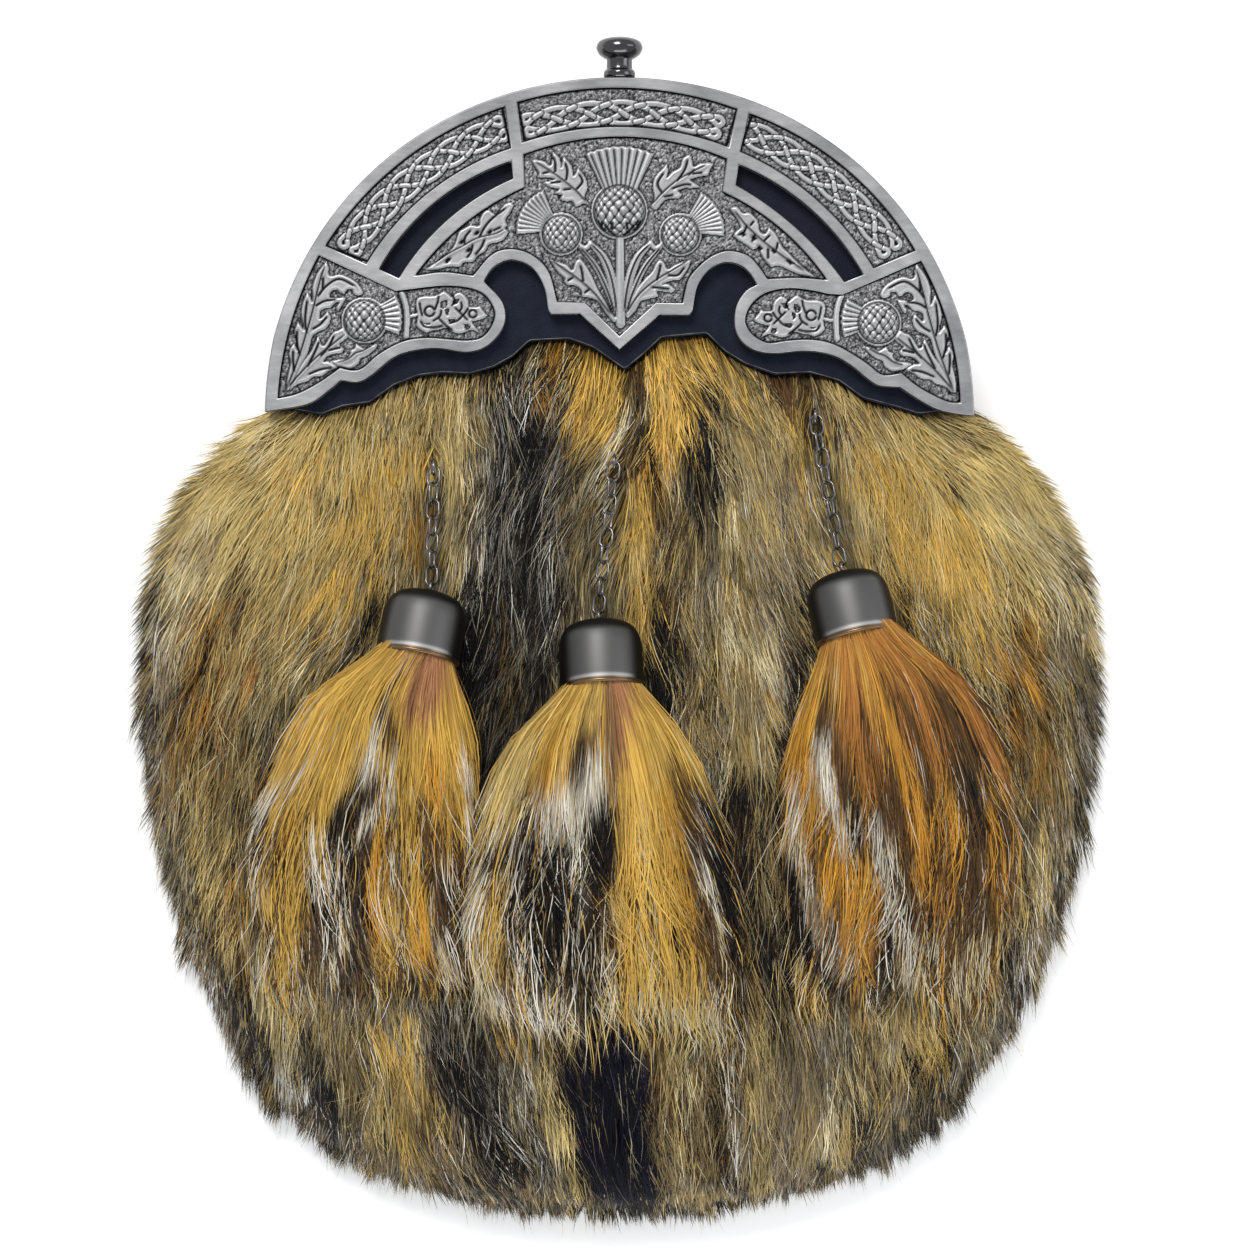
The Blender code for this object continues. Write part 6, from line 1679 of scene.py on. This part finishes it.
LEAF_UL = ((589, 206), (585, 199), (588, 190), (586, 180), (579, 171), (576, 176), (574, 178), (572, 168), (565, 160),
           (563, 165), (562, 170), (560, 160), (554, 155), (553, 162), (551, 168), (546, 164), (538, 162), (533, 163),
           (537, 170), (540, 175), (539, 179), (547, 179), (556, 181), (551, 183), (545, 185), (551, 189), (560, 191),
           (556, 195), (563, 197), (561, 201), (567, 203), (573, 203), (576, 208), (581, 207), (584, 205))
leaf(LEAF_UL, ((588, 205), (578, 194), (566, 184), (552, 174), (537, 165)),
     (((577, 192), (583, 184), (580, 176)), ((567, 183), (568, 173), (566, 165)), ((556, 175), (556, 166), (554, 159)),
      ((572, 191), (564, 192)), ((562, 184), (551, 185)), ((550, 174), (543, 176))))
LEAF_UR = ((651, 208), (655, 200), (653, 190), (655, 180), (661, 173), (667, 167), (668, 174), (667, 180), (673, 174),
           (680, 170), (683, 161), (690, 157), (692, 163), (694, 169), (700, 166), (708, 165), (713, 166), (710, 172),
           (708, 177), (702, 178), (694, 180), (690, 182), (696, 186), (699, 189), (692, 190), (684, 190), (678, 193),
           (682, 196), (679, 200), (671, 200), (664, 203), (657, 211))
leaf(LEAF_UR, ((653, 208), (664, 196), (678, 184), (692, 176), (708, 168)),
     (((663, 196), (658, 186), (664, 175)), ((677, 184), (685, 172), (688, 162)), ((688, 178), (695, 172)),
      ((672, 191), (684, 187), (692, 187)), ((664, 199), (674, 197)), ((692, 176), (703, 175))))
LEAF_LL = ((551, 261), (560, 264), (568, 267), (573, 272), (576, 264), (581, 261), (587, 268), (593, 279), (598, 290),
           (605, 302), (612, 315), (618, 321), (614, 323), (606, 314), (599, 303), (590, 299), (583, 298), (582, 292),
           (576, 287), (568, 286), (565, 283), (566, 280), (560, 275), (556, 270), (553, 265))
leaf(LEAF_LL, ((552, 262), (566, 272), (583, 284), (598, 298), (613, 318)),
     (((584, 284), (583, 275), (581, 267)), ((574, 279), (568, 283)), ((590, 291), (585, 295))))
LEAF_LR = ((691, 262), (685, 263), (675, 267), (668, 271), (664, 264), (660, 262), (656, 266), (652, 274), (645, 281),
           (638, 290), (632, 302), (626, 316), (629, 319), (636, 312), (641, 303), (650, 300), (658, 298), (657, 293),
           (664, 293), (672, 294), (675, 291), (669, 286), (663, 286), (672, 282), (680, 281), (687, 272))
leaf(LEAF_LR, ((690, 263), (674, 273), (656, 284), (640, 298), (628, 316)),
     (((657, 283), (660, 272), (661, 266)), ((668, 277), (678, 277), (685, 269)), ((652, 289), (662, 290), (670, 291))))
stroke(((620.5, 236), (620.5, 280), (621, 325)), 3.2, 4.6, 0.62)
for sign in (-1, 1):
    for run, half in ((((29, 246), (18, 258), (10.5, 275), (6, 295), (4, 312)), 4.3),
                      (((40, 249), (24, 269), (12, 295), (6, 315)), 2.6)):
        pts = [(621 + sign * x, y) for x, y in run]
        blade(pts, half, 0.5)
    stroke([(621 + sign * x, y) for x, y in ((30, 245), (35, 250), (43, 244))], 2.2, 1.2, 0.4)

# ---- the middle field's corner leaves
WING_L = ((428, 271), (440, 262), (446, 257), (453, 251), (457, 243), (460, 234), (466, 230), (472, 227), (480, 228),
          (481, 221), (485, 214), (490, 212), (494, 215), (498, 216), (505, 207), (512, 204.5), (514, 208), (510, 216),
          (506, 222), (508, 227), (506, 230), (509, 234), (505, 241), (498, 244), (490, 246), (486, 253), (479, 257),
          (474, 263), (465, 264), (461, 268), (450, 268), (440, 271))
leaf(WING_L, ((438, 265), (450, 257), (465, 249), (480, 241), (497, 237), (507, 232)),
     (((466, 247), (466, 240), (472, 232)), ((480, 240), (486, 229), (494, 220), (507, 210)), ((474, 246), (472, 254), (468, 260)),
      ((486, 241), (482, 250), (476, 257)), ((494, 233), (502, 229)), ((452, 260), (447, 265))))
for x, y in ((463, 244), (478, 235), (491, 234), (449, 262), (470, 252)):
    groove([(x - 2, y + 2), (x, y), (x + 2, y - 2)], 1.5, 0.4)
WING_R = ((731, 211), (737, 209), (743, 215), (750, 215), (757, 222), (759, 232), (765, 236), (769, 230), (775, 235),
          (779, 243), (783, 250), (788, 254), (795, 262), (804, 270), (813, 278), (800, 276), (790, 272), (778, 267),
          (771, 268), (763, 259), (758, 250), (753, 251), (747, 247), (734, 238), (738, 232), (741, 229), (737, 220))
leaf(WING_R, ((735, 213), (747, 228), (763, 243), (781, 257), (806, 274)),
     (((747, 227), (744, 234), (738, 237)), ((755, 236), (752, 244)), ((764, 243), (770, 237)), ((776, 252), (778, 244)),
      ((768, 250), (768, 261)), ((750, 228), (754, 223)), ((786, 262), (795, 266))))
for x, y in ((743, 236), (754, 240), (774, 253), (790, 264), (760, 250)):
    groove([(x - 2, y - 2), (x, y), (x + 2, y + 2)], 1.5, 0.4)

# ---- side fields
SIDE_LEAF = ((289, 391), (289, 381), (291, 371), (293, 363), (291, 356), (292, 350), (296, 346), (299, 352), (299, 344),
             (297, 336), (297, 330), (300, 325), (303, 328), (306, 332), (305, 324), (303, 314), (305, 303), (309, 295),
             (312, 299), (314, 304), (315, 298), (314, 290), (316, 282), (319, 275), (324, 268), (328, 264), (330, 269),
             (330, 275), (333, 278), (341, 276), (350, 279), (358, 284), (363, 290), (364, 295), (360, 297), (355, 295),
             (354, 291), (349, 291), (346, 295), (342, 294), (338, 291), (333, 293), (331, 298), (335, 300), (344, 299),
             (347, 300), (344, 306), (340, 312), (338, 309), (341, 304), (337, 304), (332, 309), (326, 310), (322, 313),
             (321, 320), (324, 319), (329, 314), (332, 318), (331, 325), (327, 330), (320, 333), (314, 338), (312, 345),
             (309, 355), (303, 366), (297, 378), (292, 389))
SIDE_MIDRIB = ((290, 390), (298, 370), (305, 350), (311, 330), (316, 312), (320, 295), (324, 280), (328, 268))
SIDE_VEINS = (((296, 374), (295, 362), (295, 352)), ((302, 358), (299, 345), (299, 332)), ((309, 336), (307, 322), (309, 302)),
              ((319, 299), (328, 288), (341, 281), (357, 288)), ((317, 308), (326, 303), (338, 301)),
              ((314, 331), (322, 326), (329, 318)), ((324.5, 292), (325, 279)))
SIDE_BRANCH = ((292, 391), (295, 383), (300, 372), (306, 362), (312, 354), (316, 346), (320, 339), (323, 346), (326, 347),
               (330, 341), (335, 334), (340, 332), (344, 330), (349, 335), (349, 339), (344, 343), (341, 346), (345, 350),
               (343, 354), (336, 355), (330, 357), (325, 363), (330, 363), (337, 367), (338, 369), (331, 372), (324, 377),
               (315, 378), (310, 382), (303, 384), (297, 387))
SIDE_BRANCH_RIB = ((291, 390), (303, 376), (318, 361), (334, 348), (348, 337))
SIDE_BRANCH_VEINS = (((309, 369), (317, 353), (321, 343)), ((322, 358), (330, 349), (336, 337)), ((310, 376), (322, 371), (334, 369)),
                     ((330, 352), (338, 350), (343, 349)))
SIDE_CURL = ((333, 363), (340, 361), (348, 360), (352, 355), (352, 352), (356, 350), (358, 346), (362, 348), (366, 350),
             (372, 347), (378, 346), (377, 350), (370, 356), (362, 360), (360, 365), (352, 370), (345, 369), (339, 367))
KNOT = ((419, 315), (417, 306), (419, 300), (425, 298), (433, 298), (440, 296), (445, 293), (450, 296), (453.5, 299),
        (456, 296), (461, 294), (466, 297), (469, 302), (470, 308), (476, 309), (481, 308), (484, 312), (488, 317),
        (484, 320), (477, 322), (473, 323), (476, 328), (480, 334), (473, 331), (467, 333), (460, 335), (453, 333),
        (447, 329), (440, 331), (433, 332), (428, 334), (422, 331), (418, 327), (419, 320))
KNOT_POCKETS = (((442, 304), (447, 301), (449, 305), (446, 310), (442, 309)), ((455, 301), (461, 301), (457, 306), (454, 305)),
                ((446, 312), (450, 310), (449, 318)), ((465, 326), (470, 326), (471, 330), (467, 331)),
                ((450, 321), (457, 321), (455, 324), (451, 325)), ((426, 325), (432, 325), (430, 327)))
KNOT_CUTS = (((453, 297), (456, 302), (453, 308)), ((440, 297), (439, 304), (436, 312)), ((470, 309), (466, 315), (459, 322), (451, 325)),
             ((440, 320), (446, 326), (454, 332)), ((456, 309), (463, 316), (469, 322)), ((443, 311), (441, 318), (434, 323)),
             ((421, 304), (422, 311), (424, 318)), ((462, 303), (463, 309), (460, 314)), ((422, 322), (426, 328), (436, 329), (445, 327)))
for side in (0, 1):
    put = (lambda pts: list(pts)) if side == 0 else (lambda pts: mirrored(pts, 622.0, 2.5))
    fan_at = put([(358, 320)])[0]
    fan(fan_at[0], fan_at[1], -21 if side == 0 else 150, 30 if side == 0 else 201, 26, 46, 6.5, 0.42)
    leaf(put(SIDE_LEAF), put(SIDE_MIDRIB), [put(v) for v in SIDE_VEINS])
    leaf(put(SIDE_BRANCH), put(SIDE_BRANCH_RIB), [put(v) for v in SIDE_BRANCH_VEINS])
    leaf(put(SIDE_CURL), put(((340, 365), (350, 362), (358, 356), (366, 353), (375, 348))))
    cx, cy = put([(366, 322)])[0]
    bulb(cx, cy, 20.3, 9.0, 0.85)
    stroke(put([(403, 294), (407, 306), (408.5, 320), (407.5, 338)]), 2.5, 2.5, 0.62)
    put2 = (lambda pts: list(pts)) if side == 0 else (lambda pts: mirrored(pts, 621.0, 4.0))
    shape(curve(put2(KNOT), True, 3), 0.42)
    for p in KNOT_POCKETS:
        pocket(put2(p))
    for p in KNOT_CUTS:
        groove(put2(p), 0.8, 0.18)
    for (cx, cy), r in ((put2([(431, 313)])[0], 4.9), (put2([(474, 315.5)])[0], 3.8)):
        groove([(cx + r * math.cos(t), cy + r * math.sin(t)) for t in np.linspace(0, 2 * math.pi, 21)], 0.9, 0.22, False)
    stroke(put2([(411, 318), (420, 316)]), 1.2, 1.2, 0.38)


# ---- top panels: rows of interlaced loops along the arc
def plait(a0, a1, radius, turns, across, half=3.2, over=0.62, apex=4.0):
    """A plait of four strands between two angles (degrees) about the arc's centre; its strands
    turn back in pairs at the ends. turns: how often an outer bump comes, less one."""
    centre = (620.0, 437.0)
    total = math.pi / 2 * turns + 2 * over
    length = abs(math.radians(a1 - a0)) * radius
    scale = (length - 2 * apex) / total
    sign = 1 if a1 > a0 else -1

    def place(theta, height, extra=0.0):
        a = math.radians(a0) + sign * ((theta - math.pi / 4 + over) * scale + apex + extra) / radius
        r = radius + height
        return centre[0] + r * math.cos(a), centre[1] - r * math.sin(a)

    def height(k, theta):
        s = math.sin(theta + k * math.pi / 2)
        return across * math.copysign(abs(s) ** 0.85, s)

    lo, hi = math.pi / 4 - over, math.pi / 4 + math.pi / 2 * turns + over
    pairs = []
    for theta in (math.pi / 4, math.pi / 4 + math.pi / 2 * turns):
        rows = sorted(range(4), key=lambda k: height(k, theta))
        partner = {rows[0]: rows[1], rows[1]: rows[0], rows[2]: rows[3], rows[3]: rows[2]}
        pairs.append(partner)
    loops, free = [], {0, 1, 2, 3}
    while free:
        k, end, pts = min(free), 1, []
        while k in free:
            free.discard(k)
            thetas = np.linspace(lo, hi, 7 * turns + 9)
            for theta in (thetas if end == 1 else thetas[::-1]):
                pts.append(place(theta, height(k, theta)))
            mate = pairs[end][k]
            edge = hi if end == 1 else lo
            middle = (height(k, edge) + height(mate, edge)) / 2
            pts.append(place(edge, middle + (height(k, edge) - middle) * 0.45, apex * (0.8 if end == 1 else -0.8)))
            pts.append(place(edge, middle - (height(k, edge) - middle) * 0.45, apex * (0.8 if end == 1 else -0.8)))
            k, end = mate, 1 - end
        loops.append(curve(pts, True, 2))
    interlace(loops, half, 0.44)


plait(145.8, 110.2, 328.0, 6, 12.0, 2.25)
plait(69.7, 34.0, 328.0, 6, 12.0, 2.25)
plait(107.2, 71.7, 322.0, 5, 10.8, 2.6)


def blurred(a, sigma):
    n = int(sigma * 3) + 1
    k = np.exp(-0.5 * (np.arange(-n, n + 1) / sigma) ** 2)
    k /= k.sum()
    p = np.pad(a, n, mode="edge")
    p = sum(p[i:i + a.shape[0], :] * w for i, w in enumerate(k))
    return sum(p[:, i:i + a.shape[1]] * w for i, w in enumerate(k))


# ---- punched ground and patina
stipple = blurred(rng.normal(0, 1, GX.shape), 0.5)
stipple /= stipple.std()
FINE = 0.7
STEP = 0.5
windows = [trace(WINDOW, FINE), flip(trace(WINDOW_RIGHT, FINE))]
fields = {
    "left": [trace(PANEL_SIDE_TOP, FINE), trace(FIELD_SIDE, FINE)],
    "right": [flip(trace(PANEL_SIDE_TOP_RIGHT, FINE)), flip(trace(FIELD_SIDE_RIGHT, FINE))],
    "middle": [middle_field(FINE), trace(PANEL_TOP, FINE)],
}
ground = np.zeros(GX.shape, bool)
wall = np.full(GX.shape, -1.0)
for group in fields.values():
    for f in group:
        p = to_plan(f)
        w = window_of(p, 4)
        ins = inside_of(p, GX[w], GY[w])
        d, _ = along(p[::2], GX[w], GY[w], True)
        ground[w] |= ins
        wall[w] = np.where(ins, d, wall[w])
flat = RELIEF < 0.05
RELIEF = np.where(wall < 1.6, RELIEF * np.clip((wall - 0.2) / 1.4, 0, 1), RELIEF)
soft = blurred(RELIEF, 1.5)
wide_soft = blurred(RELIEF, 3.2)
HEIGHT = blurred(RELIEF * 0.68, 0.5) + np.where(flat, stipple * 0.026, stipple * 0.003)
raised = RELIEF > 0.1
gap = np.where(raised, 0.0, np.clip(blurred(raised.astype(float), 1.25) * 3.6, 0, 1))
PATINA = np.where(flat, 0.48 + 0.25 * stipple,
                  0.84 + 1.1 * (RELIEF - soft) + 0.15 * (RELIEF - wide_soft) + 0.02 * stipple)
PATINA *= (1 - 0.88 * gap) * (1 - DARKEN)
PATINA *= np.clip((wall - 0.8) / 1.5, 0.04, 1)
PATINA = np.clip(PATINA, 0.02, 1.0)


def pewter(name, relief=False):
    mat, tree, shader = principled(name, (0.33, 0.33, 0.345), 0.36, 1.0)
    tex = node(tree, "ShaderNodeTexCoord")
    if relief:
        tint = node(tree, "ShaderNodeVertexColor", layer_name="tint")
        tree.links.new(tint.outputs["Color"], shader.inputs["Base Color"])
        shader.inputs["Roughness"].default_value = 0.48
        grain = node(tree, "ShaderNodeTexNoise", Scale=2600.0, Detail=2.0)
        tree.links.new(tex.outputs["Object"], grain.inputs["Vector"])
        bumped(tree, shader, grain.outputs["Fac"], 0.15, 0.00006)
        return mat
    stretch = node(tree, "ShaderNodeMapping")
    stretch.inputs["Scale"].default_value = (260.0, 900.0, 600.0)
    stretch.inputs["Rotation"].default_value = (0, 0, 0.5)
    tree.links.new(tex.outputs["Object"], stretch.inputs["Vector"])
    brush = node(tree, "ShaderNodeTexNoise", Scale=1.0, Detail=4.0, Roughness=0.6)
    tree.links.new(stretch.outputs["Vector"], brush.inputs["Vector"])
    cloud = node(tree, "ShaderNodeTexNoise", Scale=70.0, Detail=3.0)
    tree.links.new(tex.outputs["Object"], cloud.inputs["Vector"])
    both = node(tree, "ShaderNodeMath", operation="MULTIPLY_ADD")
    tree.links.new(brush.outputs["Fac"], both.inputs[0])
    both.inputs[1].default_value = 0.45
    tree.links.new(cloud.outputs["Fac"], both.inputs[2])
    shine = ramp(tree, both.outputs["Value"], ((0.47, (0.188, 0.190, 0.201)), (0.72, (0.265, 0.266, 0.276)),
                                               (0.94, (0.350, 0.350, 0.360))))
    # painted light: the rims' colour is scaled lighter towards the bottom of the cantle and darker towards its top
    place = node(tree, "ShaderNodeSeparateXYZ")
    tree.links.new(tex.outputs["Object"], place.inputs[0])
    painted_light = node(tree, "ShaderNodeMapRange")
    for socket, value in (("From Min", 0.085), ("From Max", 0.130), ("To Min", 1.29), ("To Max", 0.90)):
        painted_light.inputs[socket].default_value = value
    tree.links.new(place.outputs["Y"], painted_light.inputs["Value"])
    scaled = node(tree, "ShaderNodeVectorMath", operation="SCALE")
    tree.links.new(shine, scaled.inputs[0])
    tree.links.new(painted_light.outputs["Result"], scaled.inputs["Scale"])
    tree.links.new(scaled.outputs["Vector"], shader.inputs["Base Color"])
    spread = node(tree, "ShaderNodeMapRange")
    spread.inputs["To Min"].default_value, spread.inputs["To Max"].default_value = 0.36, 0.50
    tree.links.new(cloud.outputs["Fac"], spread.inputs["Value"])
    tree.links.new(spread.outputs["Result"], shader.inputs["Roughness"])
    bumped(tree, shader, brush.outputs["Fac"], 0.22, 0.00008)
    return mat


RIM_METAL, RELIEF_METAL = pewter("pewter_rims"), pewter("pewter_relief", True)


def flat_mesh(name, outlines, low, high, round_edge=0.0):
    """A plate: filled outlines (inner ones are holes) from z low to z high, mm."""
    data = bpy.data.curves.new(name, "CURVE")
    data.dimensions = "2D"
    data.fill_mode = "BOTH"
    data.extrude = ((high - low) / 2 - round_edge) * MM
    if round_edge:
        data.bevel_depth, data.bevel_resolution, data.offset = round_edge * MM, 2, -round_edge * MM
    for pts in outlines:
        spline = data.splines.new("POLY")
        spline.points.add(len(pts) - 1)
        for point, p in zip(spline.points, pts):
            point.co = (p[0] * MM, p[1] * MM, 0, 1)
        spline.use_cyclic_u = True
    ob = bpy.data.objects.new(name, data)
    scene.collection.objects.link(ob)
    ob.location.z = (low + high) / 2 * MM
    bpy.context.view_layer.update()
    mesh = bpy.data.meshes.new_from_object(ob.evaluated_get(bpy.context.evaluated_depsgraph_get()))
    mesh.name = name
    mesh.transform(ob.matrix_world)
    bpy.data.objects.remove(ob, do_unlink=True)
    bm = bmesh.new()
    bm.from_mesh(mesh)
    bmesh.ops.remove_doubles(bm, verts=bm.verts, dist=2e-6)
    bmesh.ops.recalc_face_normals(bm, faces=bm.faces)
    bm.to_mesh(mesh)
    bm.free()
    return mesh


outline = cantle_outline(FINE)
holes = windows + [f for group in fields.values() for f in group]
rims_mesh = flat_mesh("cantle_rims", [outline] + holes, FIELD_Z - 0.9, RIM_Z, 0.30)
rims_mesh.shade_smooth()
bm = bmesh.new()
bm.from_mesh(rims_mesh)
for e in bm.edges:
    up = [abs(f.normal.z) > 0.999 for f in e.link_faces]
    e.smooth = len(up) == 2 and up[0] == up[1]
bm.to_mesh(rims_mesh)
bm.free()
rims = piece("cantle_rims", rims_mesh, RIM_METAL)
# the steep lower part of every bevel and the walls are dark: partly oxide, partly painted shade on the faces that turn
# away
OXIDE_AND_SHADE, _tree, _shader = principled("pewter_oxide_and_shade", (0.035, 0.035, 0.04), 0.55, 1.0)
rims_mesh.materials.append(OXIDE_AND_SHADE)
for poly in rims_mesh.polygons:
    if poly.normal.z < 0.62:
        poly.material_index = 1
plate = piece("cantle_plate", flat_mesh("cantle_plate", [outline] + windows, CANTLE_BACK, FIELD_Z - 0.5), RIM_METAL)
skirt_outline = rim_arc(0.02, 4.3, 1.0) + list(reversed(rim_arc(SKIRT, 4.5, 1.0)))
skirt = piece("cantle_skirt", flat_mesh("cantle_skirt", [skirt_outline], CANTLE_LOW, CANTLE_BACK + 0.2), RIM_METAL)
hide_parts("cantle")
DARK, LIGHT = np.array((0.004, 0.004, 0.005)), np.array((0.445, 0.445, 0.462))
for name, group in fields.items():
    mask = np.zeros(GX.shape, bool)
    for f in group:
        p = to_plan(f)
        w = window_of(p, 4)
        d, _ = along(p[::2], GX[w], GY[w], True)
        mask[w] |= inside_of(p, GX[w], GY[w]) | (d < 1.5)
    index = np.full(GX.shape, -1)
    index[mask] = np.arange(mask.sum())
    cells = (index[:-1, :-1] >= 0) & (index[:-1, 1:] >= 0) & (index[1:, :-1] >= 0) & (index[1:, 1:] >= 0)
    quads = np.stack((index[1:, :-1][cells], index[1:, 1:][cells], index[:-1, 1:][cells], index[:-1, :-1][cells]), 1)
    verts = np.stack(((GX[mask] - 620.0) * UNIT, (626.5 - GY[mask]) * UNIT,
                      FIELD_Z - 0.02 + np.where(ground[mask], HEIGHT[mask], 0.0)), 1)
    mesh = bpy.data.meshes.new("relief")
    mesh.vertices.add(len(verts))
    mesh.vertices.foreach_set("co", (verts * MM).astype(np.float32).ravel())
    mesh.loops.add(quads.size)
    mesh.loops.foreach_set("vertex_index", quads.ravel().astype(np.int32))
    mesh.polygons.add(len(quads))
    mesh.polygons.foreach_set("loop_start", (np.arange(len(quads)) * 4).astype(np.int32))
    mesh.polygons.foreach_set("loop_total", np.full(len(quads), 4, np.int32))
    layer = mesh.uv_layers.new(name="OFBake")
    low, high = verts[:, :2].min(0), verts[:, :2].max(0)
    uv = (verts[:, :2] - low) / (high - low).max() * 0.98 + 0.01
    layer.data.foreach_set("uv", uv[quads.ravel()].astype(np.float32).ravel())
    tint = mesh.color_attributes.new("tint", "FLOAT_COLOR", "POINT")
    rgba = np.ones((len(verts), 4), np.float32)
    # painted light: the relief's colour is made lighter towards the right and darker along the top
    painted_light_gain = (1 + 0.13 * np.clip(verts[:, 0] / 60, 0, 1)) * (1 - 0.13 * np.clip((verts[:, 1] - 110) / 6, 0, 1))
    rgba[:, :3] = DARK + (LIGHT - DARK) * (PATINA[mask] ** 1.6 * painted_light_gain)[:, None]
    tint.data.foreach_set("color", rgba.ravel())
    mesh.update(calc_edges=True)
    mesh.shade_smooth()
    piece("cantle_relief_" + name, mesh, RELIEF_METAL)
